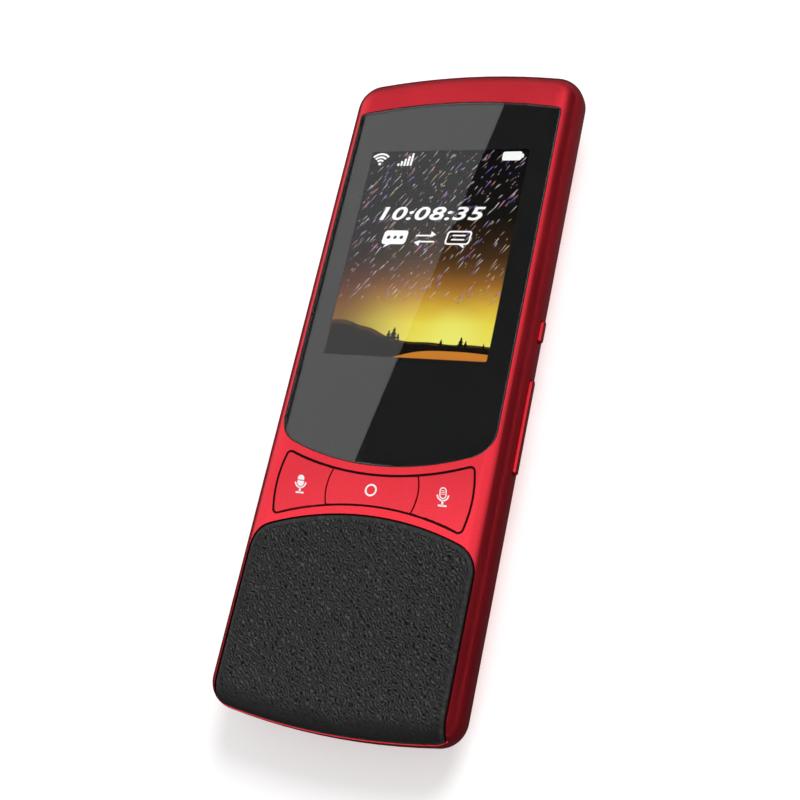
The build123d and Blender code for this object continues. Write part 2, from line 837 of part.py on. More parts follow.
def shield_can(width, length, centre):
    # A pressed tin box, open towards the board
    with BuildPart() as can:
        with BuildSketch(Plane.XY.offset(board_upper)):
            with Locations((can_x, centre)):
                RectangleRounded(width, length, can_corner)
        extrude(amount=can_height)
        with BuildSketch(Plane.XY.offset(board_upper)):
            with Locations((can_x, centre)):
                Rectangle(width - 2 * can_wall, length - 2 * can_wall)
        extrude(amount=can_height - can_wall, mode=Mode.SUBTRACT)
    return can


processor_shield = shield_can(processor_width, processor_length, processor_y)
radio_shield = shield_can(radio_width, radio_length, radio_y)

with BuildPart() as board_chips:
    with BuildSketch(Plane.XY.offset(board_upper)):
        with Locations((can_x, processor_y), (can_x, radio_y)):
            Rectangle(chip_size, chip_size)
        with Locations((memory_x, processor_y)):
            Rectangle(memory_size, memory_size)
    extrude(amount=chip_height)

# Battery, hung from the chassis plate and the pad's floor by two strips of tape
battery_upper = frame_lower - tape_thickness
battery_lower = floor_upper + battery_swell_room
with BuildPart() as battery:
    with BuildSketch(Plane.XY.offset(battery_lower)):
        with Locations((0, (battery_top + battery_bottom) / 2)):
            RectangleRounded(battery_width, battery_top - battery_bottom, battery_edge)
    extrude(amount=battery_upper - battery_lower)

with BuildPart() as battery_tape:
    with BuildSketch(Plane.XY.offset(battery_upper)):
        with Locations((0, battery_top - tape_length), (0, battery_bottom + tape_length / 2)):
            Rectangle(battery_width - 2 * tape_inset, tape_length)
    extrude(amount=tape_thickness)

# Its plug on the board, with a flat lead back to the cell
with BuildPart() as battery_connector:
    with BuildSketch(Plane.XY.offset(board_upper)):
        with Locations((connector_x, connector_y)):
            Rectangle(connector_width, connector_depth)
    extrude(amount=connector_height)
    with BuildSketch(Plane.XY.offset(board_upper + connector_height / 2 - lead_thickness / 2)):
        with Locations((connector_x, (connector_y + battery_top) / 2)):
            Rectangle(lead_width, connector_y - battery_top)
    extrude(amount=lead_thickness)

# Speaker on its gasket and mesh, over the rear cover's slots
field_width = slot_pitch * (slot_count - 1) + slot_width
mesh_upper = floor_upper + mesh_thickness
gasket_upper = mesh_upper + gasket_thickness
with BuildPart() as speaker_mesh:
    with BuildSketch(Plane.XY.offset(floor_upper)):
        with Locations((0, speaker_centre)):
            RectangleRounded(field_width + 2 * gasket_wall, slot_length + 2 * gasket_wall, gasket_wall)
    extrude(amount=mesh_thickness)

with BuildPart() as speaker_gasket:
    with BuildSketch(Plane.XY.offset(mesh_upper)):
        with Locations((0, speaker_centre)):
            RectangleRounded(field_width + 2 * gasket_wall, slot_length + 2 * gasket_wall, gasket_wall)
            Rectangle(field_width, slot_length, mode=Mode.SUBTRACT)
    extrude(amount=gasket_thickness)

with BuildPart() as speaker:
    with BuildSketch(Plane.XY.offset(gasket_upper)):
        with Locations((0, speaker_centre)):
            RectangleRounded(speaker_width, speaker_length, speaker_edge)
    extrude(amount=frame_lower - speaker_headroom - gasket_upper)
    fillet(speaker.faces().sort_by(Axis.Z)[-1].edges(), speaker_round)

# Charging socket: a steel sleeve round a tongue, open at the top end
socket_mouth = top_end - socket_setback
socket_back = socket_mouth - socket_depth
with BuildPart() as usb_socket:
    with BuildSketch(Plane.XZ.offset(-socket_back)):
        with Locations((0, socket_level)):
            SlotOverall(socket_width, socket_height)
    extrude(amount=-socket_depth)
    with BuildSketch(Plane.XZ.offset(-socket_back - socket_wall)):
        with Locations((0, socket_level)):
            SlotOverall(socket_width - 2 * socket_wall, socket_height - 2 * socket_wall)
            Rectangle(tongue_width, tongue_thickness, mode=Mode.SUBTRACT)
    extrude(amount=-socket_depth, mode=Mode.SUBTRACT)

usb_board_upper = socket_level - socket_height / 2
usb_board_lower = usb_board_upper - usb_board_thickness
usb_board_end = socket_mouth - socket_overhang
with BuildPart() as usb_board:
    with BuildSketch(Plane.XY.offset(usb_board_lower)):
        with Locations((0, usb_board_end - usb_board_length / 2)):
            Rectangle(usb_board_width, usb_board_length)
    extrude(amount=usb_board_thickness)

with BuildPart() as lower_microphone:
    with BuildSketch(Plane.XY.offset(floor_upper)):
        with Locations((lower_mic_x, lower_mic_y)):
            Rectangle(mic_length, mic_width)
    extrude(amount=mic_height)

with BuildPart() as upper_microphone:
    with BuildSketch(Plane.XY.offset(usb_board_upper)):
        with Locations((upper_mic_x, usb_board_end - mic_width / 2)):
            Rectangle(mic_length, mic_width)
    extrude(amount=mic_height)

with BuildPart() as antenna:
    with BuildSketch(Plane.XY.offset(floor_upper)):
        with Locations((antenna_x, antenna_y)):
            RectangleRounded(antenna_width, antenna_length, antenna_corner)
    extrude(amount=antenna_thickness)

# Card reader: an inverted channel on the board, open towards the left side
tray_width = card_width + 2 * card_gap + 2 * tray_border
tray_inner = -inner_side + card_length + 2 * card_gap + 2 * tray_border
reader_upper = tray_lower + tray_thickness + running_gap + reader_wall
reader_left = -board_width / 2
reader_right = tray_inner + running_gap + reader_rail
with BuildPart() as card_reader:
    with BuildSketch(Plane.XY.offset(board_upper)):
        with Locations(((reader_left + reader_right) / 2, tray_centre)):
            Rectangle(reader_right - reader_left, tray_width + 2 * running_gap + 2 * reader_rail)
    extrude(amount=reader_upper - board_upper)
    with BuildSketch(Plane.XY.offset(board_upper)):
        with Locations(((reader_left + tray_inner) / 2, tray_centre)):
            Rectangle(tray_inner - reader_left + 2 * running_gap, tray_width + 2 * running_gap)
    extrude(amount=reader_upper - reader_wall - board_upper, mode=Mode.SUBTRACT)

# Card tray: its face is flush with the case's side
with BuildPart() as card_tray:
    with BuildSketch(Plane.YZ.offset(-half_width)):
        with Locations((tray_centre, tray_level)):
            SlotOverall(tray_face_length, tray_face_height)
    extrude(amount=tray_face_depth)
    add(case_envelope(0), mode=Mode.INTERSECT)
    with BuildSketch(Plane.XY.offset(tray_lower)):
        with Locations(((tray_inner - half_width + tray_face_depth / 2) / 2, tray_centre)):
            Rectangle(tray_inner + half_width - tray_face_depth / 2, tray_width)
    extrude(amount=tray_thickness)
    with BuildSketch(Plane.XY.offset(tray_lower + tray_thickness)):
        with Locations((tray_inner - tray_border - card_gap - card_length / 2, tray_centre)):
            Rectangle(card_length + 2 * card_gap, card_width + 2 * card_gap)
    extrude(amount=-(card_thickness + card_gap), mode=Mode.SUBTRACT)
    with BuildSketch(Plane.YZ.offset(-half_width)):
        with Locations((tray_centre - tray_width / 2, tray_level)):
            Circle(tray_eject_radius)
    extrude(amount=tray_face_depth / 2, mode=Mode.SUBTRACT)

with BuildPart() as sim_card:
    with BuildSketch(Plane.XY.offset(tray_lower + tray_thickness - card_thickness - card_gap)) as card:
        with Locations((tray_inner - tray_border - card_gap - card_length / 2, tray_centre)):
            Rectangle(card_length, card_width)
        chamfer(card.vertices().sort_by(Axis.X)[-2:].sort_by(Axis.Y)[-1:], tray_border)
    extrude(amount=card_thickness)


def screw(places, seat, reach, up):
    # Flat heads at the seat, with shanks that run down, or up, by the reach
    way = 1 if up else -1
    with BuildPart() as screws:
        with BuildSketch(Plane.XY.offset(seat)):
            with Locations(*places):
                Circle(head_radius)
        extrude(amount=-way * head_height)
        with BuildSketch(Plane.XY.offset(seat)):
            with Locations(*places):
                Circle(shank_radius)
        extrude(amount=way * reach)
    return screws


upper_head_seat = film_base - head_height - contact_gap
lower_head_seat = pad_seat - head_height - contact_gap
with BuildPart() as case_screws:
    add(screw(upper_case_screws, upper_head_seat, upper_head_seat - frame_upper + case_screw_reach, False).part)
    add(screw(lower_case_screws, lower_head_seat, lower_head_seat - frame_lower + case_screw_reach, False).part)

frame_screws = screw(frame_screw_places, frame_lower, frame_thickness + frame_screw_reach, True)
board_screws = screw(board_screw_places, board_lower, board_thickness + board_screw_reach, True)

export("front_housing", front_housing)
export("rear_cover", rear_cover)
export("cover_glass", cover_glass)
export("bezel_film", bezel_film)
export("display_panel", display_panel)
export("backlight_unit", backlight_unit)
export("display_flex", display_flex)
export("mid_frame", mid_frame)
export("key_left", key_left)
export("key_centre", key_centre)
export("key_right", key_right)
export("key_board", key_board)
export("key_mat", key_mat)
export("key_switches", key_switches)
export("leather_pad", leather_pad)
export("pad_carrier", pad_carrier)
export("power_button", power_button)
export("volume_rocker", volume_rocker)
export("rocker_pin", rocker_pin)
export("side_bracket", side_bracket)
export("side_flex", side_flex)
export("side_switches", side_switches)
export("main_board", main_board)
export("processor_shield", processor_shield)
export("radio_shield", radio_shield)
export("board_chips", board_chips)
export("battery", battery)
export("battery_tape", battery_tape)
export("battery_connector", battery_connector)
export("speaker", speaker)
export("speaker_gasket", speaker_gasket)
export("speaker_mesh", speaker_mesh)
export("usb_socket", usb_socket)
export("usb_board", usb_board)
export("lower_microphone", lower_microphone)
export("upper_microphone", upper_microphone)
export("antenna", antenna)
export("card_reader", card_reader)
export("card_tray", card_tray)
export("sim_card", sim_card)
export("case_screws", case_screws)
export("frame_screws", frame_screws)
export("board_screws", board_screws)
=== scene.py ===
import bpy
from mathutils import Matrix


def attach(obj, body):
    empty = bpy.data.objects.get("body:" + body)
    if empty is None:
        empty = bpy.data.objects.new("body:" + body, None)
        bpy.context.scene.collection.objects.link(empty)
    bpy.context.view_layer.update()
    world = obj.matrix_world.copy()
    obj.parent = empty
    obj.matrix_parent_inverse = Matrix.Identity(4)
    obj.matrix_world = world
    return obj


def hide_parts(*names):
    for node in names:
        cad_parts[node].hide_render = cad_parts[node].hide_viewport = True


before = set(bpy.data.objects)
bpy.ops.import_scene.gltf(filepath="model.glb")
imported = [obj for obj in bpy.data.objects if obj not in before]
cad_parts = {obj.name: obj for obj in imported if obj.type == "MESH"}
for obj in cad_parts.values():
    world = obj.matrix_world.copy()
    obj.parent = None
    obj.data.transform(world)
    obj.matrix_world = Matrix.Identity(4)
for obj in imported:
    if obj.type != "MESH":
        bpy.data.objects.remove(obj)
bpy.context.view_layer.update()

import math

import bmesh
import bpy
from mathutils import Matrix, Vector, noise

scene = bpy.context.scene
mm = 0.001
print("frame loaded")


# Camera and view transform

viewpoint = {
    "place": (0.10699, -0.08650, 0.22551),
    "right": (0.90710, 0.20864, -0.36557),
    "up": (-0.06186, 0.92516, 0.37450),
    "back": (0.41635, -0.31710, 0.85212),
    "lens": 56.71,
    "sensor": 36.0,
    "nearest": 0.01,
}


def addCamera():
    camera = bpy.data.objects.new("camera", bpy.data.cameras.new("camera"))
    scene.collection.objects.link(camera)
    camera.data.lens = viewpoint["lens"]
    camera.data.sensor_width = viewpoint["sensor"]
    camera.data.clip_start = viewpoint["nearest"]
    axes = [Vector(viewpoint[side]) for side in ("right", "up", "back")]
    turn = Matrix(axes).transposed().to_4x4()
    camera.matrix_world = Matrix.Translation(viewpoint["place"]) @ turn
    scene.camera = camera


addCamera()
scene.view_settings.view_transform = "Standard"


# Node helpers

def connect(tree, socket, value):
    # a number or colour is set on the socket, and anything else is linked to it
    if isinstance(value, bpy.types.NodeSocket):
        tree.links.new(value, socket)
    else:
        socket.default_value = value


def addNode(tree, kind, inputs=None, **settings):
    made = tree.nodes.new(kind)
    for name, value in settings.items():
        setattr(made, name, value)
    for name, value in (inputs or {}).items():
        connect(tree, made.inputs[name], value)
    return made


def calc(tree, operation, *terms):
    return addNode(tree, "ShaderNodeMath", dict(enumerate(terms)), operation=operation).outputs[0]


def vectorCalc(tree, operation, first, second):
    return addNode(tree, "ShaderNodeVectorMath", {0: first, 1: second}, operation=operation).outputs


def remap(tree, value, fromLow, fromHigh, toLow=0.0, toHigh=1.0):
    # a clamped, eased change from one range to the other
    terms = {"Value": value, "From Min": fromLow, "From Max": fromHigh, "To Min": toLow, "To Max": toHigh}
    return addNode(tree, "ShaderNodeMapRange", terms, interpolation_type="SMOOTHSTEP").outputs["Result"]


def mixColour(tree, share, first, second, blend="MIX"):
    terms = {0: share, 6: first, 7: second}
    return addNode(tree, "ShaderNodeMix", terms, data_type="RGBA", blend_type=blend).outputs[2]


def toned(tree, colour, tone):
    # the colour with every channel multiplied by one tone
    grey = addNode(tree, "ShaderNodeCombineColor", {"Red": tone, "Green": tone, "Blue": tone})
    return mixColour(tree, 1.0, colour, grey.outputs[0], "MULTIPLY")


def noiseAt(tree, where, scale, **more):
    return addNode(tree, "ShaderNodeTexNoise", {"Vector": where, "Scale": scale, **more}).outputs[0]


def splitXYZ(tree, vector):
    return addNode(tree, "ShaderNodeSeparateXYZ", {"Vector": vector}).outputs


def joinXYZ(tree, x=0.0, y=0.0, z=0.0):
    return addNode(tree, "ShaderNodeCombineXYZ", {"X": x, "Y": y, "Z": z}).outputs[0]


def attributeOf(tree, name):
    return addNode(tree, "ShaderNodeAttribute", attribute_name=name).outputs["Fac"]


def inField(tree, parts, centre, half):
    # 1 inside a rectangle seen from above, and 0 outside it
    within = []
    for axis, middle, reach in zip("XY", centre, half):
        away = calc(tree, "ABSOLUTE", calc(tree, "SUBTRACT", parts[axis], middle))
        within.append(calc(tree, "LESS_THAN", away, reach))
    return calc(tree, "MULTIPLY", *within)


def newGroup(name, inputs, outputs):
    # a group that reads a place, and numbers or vectors with these starting values
    group = bpy.data.node_groups.new(name, "ShaderNodeTree")
    group.interface.new_socket(name="Vector", in_out="INPUT", socket_type="NodeSocketVector")
    for socketName, value in inputs.items():
        kind = "NodeSocketFloat" if isinstance(value, float) else "NodeSocketVector"
        group.interface.new_socket(name=socketName, in_out="INPUT", socket_type=kind).default_value = value
    for socketName in outputs:
        group.interface.new_socket(name=socketName, in_out="OUTPUT", socket_type="NodeSocketFloat")
    return group, group.nodes.new("NodeGroupInput").outputs, group.nodes.new("NodeGroupOutput").inputs


def place(tree, group, where, **values):
    made = addNode(tree, "ShaderNodeGroup", node_tree=group)
    connect(tree, made.inputs["Vector"], where)
    for name, value in values.items():
        connect(tree, made.inputs[name], value)
    return made.outputs


# Shared effects, each a group of its own

def makeGrain():
    # fine blasted or moulded grain, as a height and as a tone round 1
    group, into, out = newGroup("fineGrain", {"Scale": 9000.0, "Contrast": 0.1}, ("Height", "Tone"))
    fine = noiseAt(group, into["Vector"], into["Scale"], Detail=2.0, Roughness=0.6)
    broad = noiseAt(group, into["Vector"], calc(group, "MULTIPLY", into["Scale"], 0.27), Detail=1.0)
    height = calc(group, "MULTIPLY_ADD", fine, 0.7, calc(group, "MULTIPLY", broad, 0.3))
    centred = calc(group, "SUBTRACT", height, 0.5)
    connect(group, out["Height"], height)
    connect(group, out["Tone"], calc(group, "MULTIPLY_ADD", centred, into["Contrast"], 1.0))
    return group


def makeHandling():
    # soft patches where a hand polishes or dulls a surface
    group, into, out = newGroup("handling", {"Scale": 60.0}, ("Mask",))
    cloud = noiseAt(group, into["Vector"], into["Scale"], Detail=3.0, Distortion=0.4)
    connect(group, out["Mask"], remap(group, cloud, 0.35, 0.68))
    return group


def makeEdgeWear():
    # where an outer edge is sharper than the radius
    group, into, out = newGroup("edgeWear", {"Radius": 0.0002, "Amount": 0.5}, ("Mask",))
    rounded = addNode(group, "ShaderNodeBevel", {"Radius": into["Radius"]}, samples=4).outputs[0]
    surface = addNode(group, "ShaderNodeNewGeometry").outputs["Normal"]
    edge = remap(group, vectorCalc(group, "DOT_PRODUCT", rounded, surface)["Value"], 0.995, 0.86)
    patches = remap(group, noiseAt(group, into["Vector"], 900.0, Detail=3.0), 0.4, 0.65, 0.35, 1.0)
    broken = calc(group, "MULTIPLY", edge, patches)
    connect(group, out["Mask"], calc(group, "MULTIPLY", broken, into["Amount"]))
    return group


def makeBrushing():
    # fine lines along one direction
    group, into, out = newGroup("brushing", {"Stretch": (1.0, 30.0, 30.0), "Scale": 400.0}, ("Height",))
    stretched = vectorCalc(group, "MULTIPLY", into["Vector"], into["Stretch"])[0]
    connect(group, out["Height"], noiseAt(group, stretched, into["Scale"], Detail=3.0, Roughness=0.7))
    return group


def makeTraces():
    # printed conductors: straight runs between round pads
    group, into, out = newGroup("traces", {"Scale": 700.0, "Width": 0.09}, ("Mask", "Pads"))
    cells = {"Vector": into["Vector"], "Scale": into["Scale"], "Randomness": 0.55}
    runs = addNode(group, "ShaderNodeTexVoronoi", cells, feature="DISTANCE_TO_EDGE").outputs["Distance"]
    holes = addNode(group, "ShaderNodeTexVoronoi", cells).outputs["Distance"]
    connect(group, out["Mask"], calc(group, "LESS_THAN", runs, into["Width"]))
    connect(group, out["Pads"], remap(group, holes, 0.17, 0.12))
    return group


def makePixels():
    # the faint grid of a lit panel's pixels
    group, into, out = newGroup("pixels", {"Pitch": 0.000153, "Depth": 0.2}, ("Tone",))
    parts = splitXYZ(group, into["Vector"])
    lines = []
    for axis in ("X", "Y"):
        turns = calc(group, "DIVIDE", parts[axis], into["Pitch"])
        wave = calc(group, "COSINE", calc(group, "MULTIPLY", turns, math.tau))
        dip = calc(group, "MULTIPLY", remap(group, wave, 0.4, 1.0), into["Depth"])
        lines.append(calc(group, "SUBTRACT", 1.0, dip))
    connect(group, out["Tone"], calc(group, "MULTIPLY", *lines))
    return group


grain = makeGrain()
handling = makeHandling()
edgeWear = makeEdgeWear()
brushing = makeBrushing()
traces = makeTraces()
pixels = makePixels()
print("shared effects ready")


# Materials

def feed(tree, shader, **inputs):
    # an underscore stands for a space in a socket's name
    for name, value in inputs.items():
        connect(tree, shader.inputs[name.replace("_", " ")], value)


def bump(tree, shader, height, distance, strength=1.0):
    made = addNode(tree, "ShaderNodeBump", {"Height": height, "Distance": distance, "Strength": strength})
    feed(tree, shader, Normal=made.outputs["Normal"])


def newMaterial(name, **settings):
    material = bpy.data.materials.new(name)
    material.use_nodes = True
    tree = material.node_tree
    shader = tree.nodes["Principled BSDF"]
    feed(tree, shader, **settings)
    return material, tree, shader, tree.nodes.new("ShaderNodeTexCoord").outputs["Object"]


def rgb(red, green, blue):
    return (red, green, blue, 1.0)


anodised = {
    "shellColour": rgb(0.90, 0.044, 0.066),
    "keyColour": rgb(0.81, 0.046, 0.066),
    "paler": rgb(0.95, 0.16, 0.19),
    "deeper": rgb(0.62, 0.018, 0.034),
    "deeperShare": 0.16,
    "roughness": 0.36,
    "polish": 0.06,
    "grainScale": 8000.0,
    "grainDepth": 0.0000035,
}


def anodisedMetal(name, colour, roughness):
    # bead-blasted aluminium, dyed red
    material, tree, shader, where = newMaterial(name, Metallic=1.0)
    beads = place(tree, grain, where, Scale=anodised["grainScale"], Contrast=0.5)
    hand = place(tree, handling, where, Scale=45.0)["Mask"]
    worn = place(tree, edgeWear, where, Radius=0.00012, Amount=0.35)["Mask"]
    deep = calc(tree, "MULTIPLY", hand, anodised["deeperShare"])
    speckled = toned(tree, mixColour(tree, deep, colour, anodised["deeper"]), beads["Tone"])
    polished = calc(tree, "MULTIPLY_ADD", hand, -anodised["polish"], roughness)
    feed(tree, shader, Base_Color=mixColour(tree, worn, speckled, anodised["paler"]), Roughness=polished)
    bump(tree, shader, beads["Height"], anodised["grainDepth"])
    return material


glassLook = {
    "tint": rgb(1.0, 1.0, 1.0), "cloud": rgb(0.985, 0.995, 0.99), "ior": 1.5,
    "bonded": rgb(0.0, 0.0, 0.0), "free": rgb(1.0, 1.0, 1.0), "under": 0.0098,
    "windowCentre": (0.0, 0.0275), "windowHalf": (0.01836, 0.02448),
}


def clearGlass(name):
    optics = {"IOR": glassLook["ior"], "Roughness": 0.0, "Transmission_Weight": 1.0}
    material, tree, shader, where = newMaterial(name, **optics)
    # a breath of green in the thickness
    cloud = place(tree, handling, where, Scale=30.0)["Mask"]
    # its underside mirrors nothing where the display is bonded to it
    parts = splitXYZ(tree, where)
    window = inField(tree, parts, glassLook["windowCentre"], glassLook["windowHalf"])
    bonded = calc(tree, "MULTIPLY", window, calc(tree, "LESS_THAN", parts["Z"], glassLook["under"]))
    feed(
        tree, shader,
        Base_Color=mixColour(tree, cloud, glassLook["tint"], glassLook["cloud"]),
        Specular_Tint=mixColour(tree, bonded, glassLook["free"], glassLook["bonded"]),
    )
    return material


def mouldedPlastic(name, colour, paler, roughness=0.5, scale=5000.0, depth=0.000004, gloss=0.5):
    material, tree, shader, where = newMaterial(name, IOR=1.5, Specular_IOR_Level=gloss)
    spark = place(tree, grain, where, Scale=scale, Contrast=0.4)["Height"]
    hand = place(tree, handling, where, Scale=70.0)["Mask"]
    worn = place(tree, edgeWear, where, Radius=0.00015, Amount=0.4)["Mask"]
    base = mixColour(tree, calc(tree, "MULTIPLY", spark, 0.5), colour, paler)
    polished = calc(tree, "MULTIPLY_ADD", hand, -0.08, roughness)
    feed(tree, shader, Base_Color=mixColour(tree, worn, base, paler), Roughness=polished)
    bump(tree, shader, spark, depth)
    return material


def brushedMetal(name, colour, darker, stretch, roughness=0.32):
    material, tree, shader, where = newMaterial(name, Metallic=1.0)
    lines = place(tree, brushing, where, Stretch=stretch)["Height"]
    worn = place(tree, edgeWear, where, Radius=0.0001, Amount=0.5)["Mask"]
    base = mixColour(tree, lines, colour, darker)
    dulled = calc(tree, "MULTIPLY_ADD", lines, 0.15, roughness)
    feed(tree, shader, Base_Color=mixColour(tree, worn, base, colour), Roughness=dulled)
    bump(tree, shader, lines, 0.000002)
    return material


def printedBoard(name, mask, copper, scale, roughness=0.4):
    material, tree, shader, where = newMaterial(name, IOR=1.5)
    runs = place(tree, traces, where, Scale=scale)
    dust = place(tree, grain, where, Scale=3000.0, Contrast=0.3)["Tone"]
    covered = tuple(0.7 * a + 0.3 * b for a, b in zip(mask, copper))
    lifted = mixColour(tree, runs["Mask"], mask, covered)
    feed(
        tree, shader,
        Base_Color=mixColour(tree, runs["Pads"], lifted, copper),
        Metallic=runs["Pads"],
        Roughness=calc(tree, "MULTIPLY", dust, roughness),
    )
    bump(tree, shader, runs["Mask"], 0.00002, 0.6)
    return material


# the hollow and crown colours paint the grain's light and shade: painted shade in the hollows and a painted
# highlight on the crowns
leatherLook = {
    "hollow": rgb(0.0015, 0.0015, 0.0015),
    "crown": rgb(0.078, 0.079, 0.079),
    "steepness": 1.75,
    "roughness": 0.50,
    "poreScale": 4200.0,
    "poreDepth": 0.00001,
}


def grainedLeather(name):
    # painted highlight on the crowns and along the edges, where the mesh's "crest" attribute is high, and
    # painted shade in the hollows between them
    material, tree, shader, where = newMaterial(name, Specular_IOR_Level=0.08)
    pores = place(tree, grain, where, Scale=leatherLook["poreScale"], Contrast=0.5)
    hand = place(tree, handling, where, Scale=80.0)["Mask"]
    crest = calc(tree, "POWER", attributeOf(tree, "crest"), leatherLook["steepness"])
    lit = calc(tree, "MULTIPLY", crest, pores["Tone"])
    rubbedAndPaintedSheen = calc(tree, "MULTIPLY_ADD", hand, -0.08, leatherLook["roughness"])
    feed(
        tree, shader,
        Base_Color=mixColour(tree, lit, leatherLook["hollow"], leatherLook["crown"]),
        Roughness=calc(tree, "MULTIPLY_ADD", lit, -0.06, rubbedAndPaintedSheen),
    )
    bump(tree, shader, pores["Height"], leatherLook["poreDepth"])
    return material


pictureLook = {
    "skyStops": (
        (0.0, rgb(0.93, 0.88, 0.15)),
        (0.16, rgb(0.91, 0.79, 0.085)),
        (0.205, rgb(0.84, 0.61, 0.062)),
        (0.28, rgb(0.61, 0.33, 0.038)),
        (0.345, rgb(0.34, 0.145, 0.026)),
        (0.405, rgb(0.155, 0.066, 0.016)),
        (0.47, rgb(0.060, 0.028, 0.009)),
        (0.55, rgb(0.027, 0.013, 0.005)),
        (0.67, rgb(0.006, 0.005, 0.003)),
        (1.0, rgb(0.001, 0.001, 0.003)),
    ),
    "bottom": 0.00302,
    "height": 0.04896,
    "haze": 0.05,
    "sun": (0.0095, 0.0075, 0.0094),
    "sunReach": 0.0085,
    "glow": rgb(0.97, 0.95, 0.20),
    "dusk": rgb(0.26, 0.15, 0.28),
    "duskFrom": 0.003,
    "duskTo": -0.0185,
}
sparkLook = {
    "palette": (
        (0.0, rgb(0.95, 0.93, 1.0)), (0.30, rgb(0.60, 0.60, 0.66)), (0.52, rgb(0.42, 0.25, 1.0)),
        (0.68, rgb(1.0, 0.42, 0.30)), (0.80, rgb(0.95, 0.66, 0.30)), (0.90, rgb(1.0, 0.40, 0.85)),
    ),
    "tail": rgb(0.06, 0.06, 0.065),
    "fading": 1.1,
}
drawn = {"Base_Color": rgb(0.0, 0.0, 0.0), "Roughness": 0.4, "Specular_IOR_Level": 0.08}


def glowThroughPixels(tree, shader, where, colour, depth=0.12):
    grid = place(tree, pixels, where, Depth=depth)
    feed(tree, shader, Emission_Color=toned(tree, colour, grid["Tone"]))


def colourRamp(tree, value, stops):
    made = addNode(tree, "ShaderNodeValToRGB", {"Fac": value})
    ramp = made.color_ramp
    ramp.elements.remove(ramp.elements[1])
    ramp.elements[0].position, ramp.elements[0].color = stops[0]
    for position, colour in stops[1:]:
        ramp.elements.new(position).color = colour
    return made


def litPicture(name):
    # an evening sky: dark above, and brightest near the sun's low place
    material, tree, shader, where = newMaterial(name, **drawn, Emission_Strength=1.0)
    look = pictureLook
    parts = splitXYZ(tree, where)
    rise = calc(tree, "DIVIDE", calc(tree, "SUBTRACT", parts["Y"], look["bottom"]), look["height"])
    haze = calc(tree, "SUBTRACT", noiseAt(tree, where, 90.0, Detail=3.0), 0.5)
    drifted = calc(tree, "MULTIPLY_ADD", haze, look["haze"], rise)
    sky = colourRamp(tree, drifted, look["skyStops"]).outputs[0]
    left = remap(tree, parts["X"], look["duskFrom"], look["duskTo"])
    dusky = mixColour(tree, left, sky, mixColour(tree, 1.0, sky, look["dusk"], "MULTIPLY"))
    away = vectorCalc(tree, "DISTANCE", where, look["sun"])["Value"]
    near = remap(tree, away, look["sunReach"], 0.001, 0.0, 0.8)
    glowThroughPixels(tree, shader, where, mixColour(tree, near, dusky, look["glow"]), 0.2)
    return material


def litMarks(name, colour, strength=1.0):
    # what is drawn over the picture
    material, tree, shader, where = newMaterial(name, **drawn, Emission_Strength=strength)
    glowThroughPixels(tree, shader, where, colour)
    return material


def litSparks(name):
    # lights of several colours, each with a tint of its own, brightest at its head
    material, tree, shader, where = newMaterial(name, **drawn, Emission_Strength=1.0)
    palette = colourRamp(tree, attributeOf(tree, "tint"), sparkLook["palette"])
    palette.color_ramp.interpolation = "CONSTANT"
    head = calc(tree, "POWER", attributeOf(tree, "head"), sparkLook["fading"])
    glowThroughPixels(tree, shader, where, mixColour(tree, head, sparkLook["tail"], palette.outputs[0]))
    return material


def cellWrap(name):
    # crinkled pouch foil
    material, tree, shader, where = newMaterial(name, Metallic=0.55)
    crinkle = noiseAt(tree, where, 260.0, Detail=4.0, Distortion=0.6)
    spark = place(tree, grain, where, Scale=4000.0, Contrast=0.2)
    foil = mixColour(tree, spark["Height"], rgb(0.34, 0.35, 0.36), rgb(0.50, 0.51, 0.52))
    feed(tree, shader, Base_Color=foil, Roughness=calc(tree, "MULTIPLY", spark["Tone"], 0.38))
    bump(tree, shader, crinkle, 0.00006)
    return material


cardLook = {
    "paper": (rgb(0.72, 0.73, 0.74), rgb(0.80, 0.80, 0.79)), "gilt": rgb(0.83, 0.60, 0.26),
    "fieldCentre": (-0.0165, 0.044), "fieldHalf": (0.003, 0.0035),
}


def cardPlastic(name):
    # white card with a gilt contact field
    material, tree, shader, where = newMaterial(name, IOR=1.5)
    fibre = place(tree, grain, where, Scale=3000.0, Contrast=0.2)
    field = inField(tree, splitXYZ(tree, where), cardLook["fieldCentre"], cardLook["fieldHalf"])
    paper = mixColour(tree, fibre["Height"], *cardLook["paper"])
    feed(
        tree, shader,
        Base_Color=mixColour(tree, field, paper, cardLook["gilt"]),
        Metallic=field,
        Roughness=calc(tree, "MULTIPLY", fibre["Tone"], 0.4),
    )
    bump(tree, shader, fibre["Height"], 0.000003)
    return material


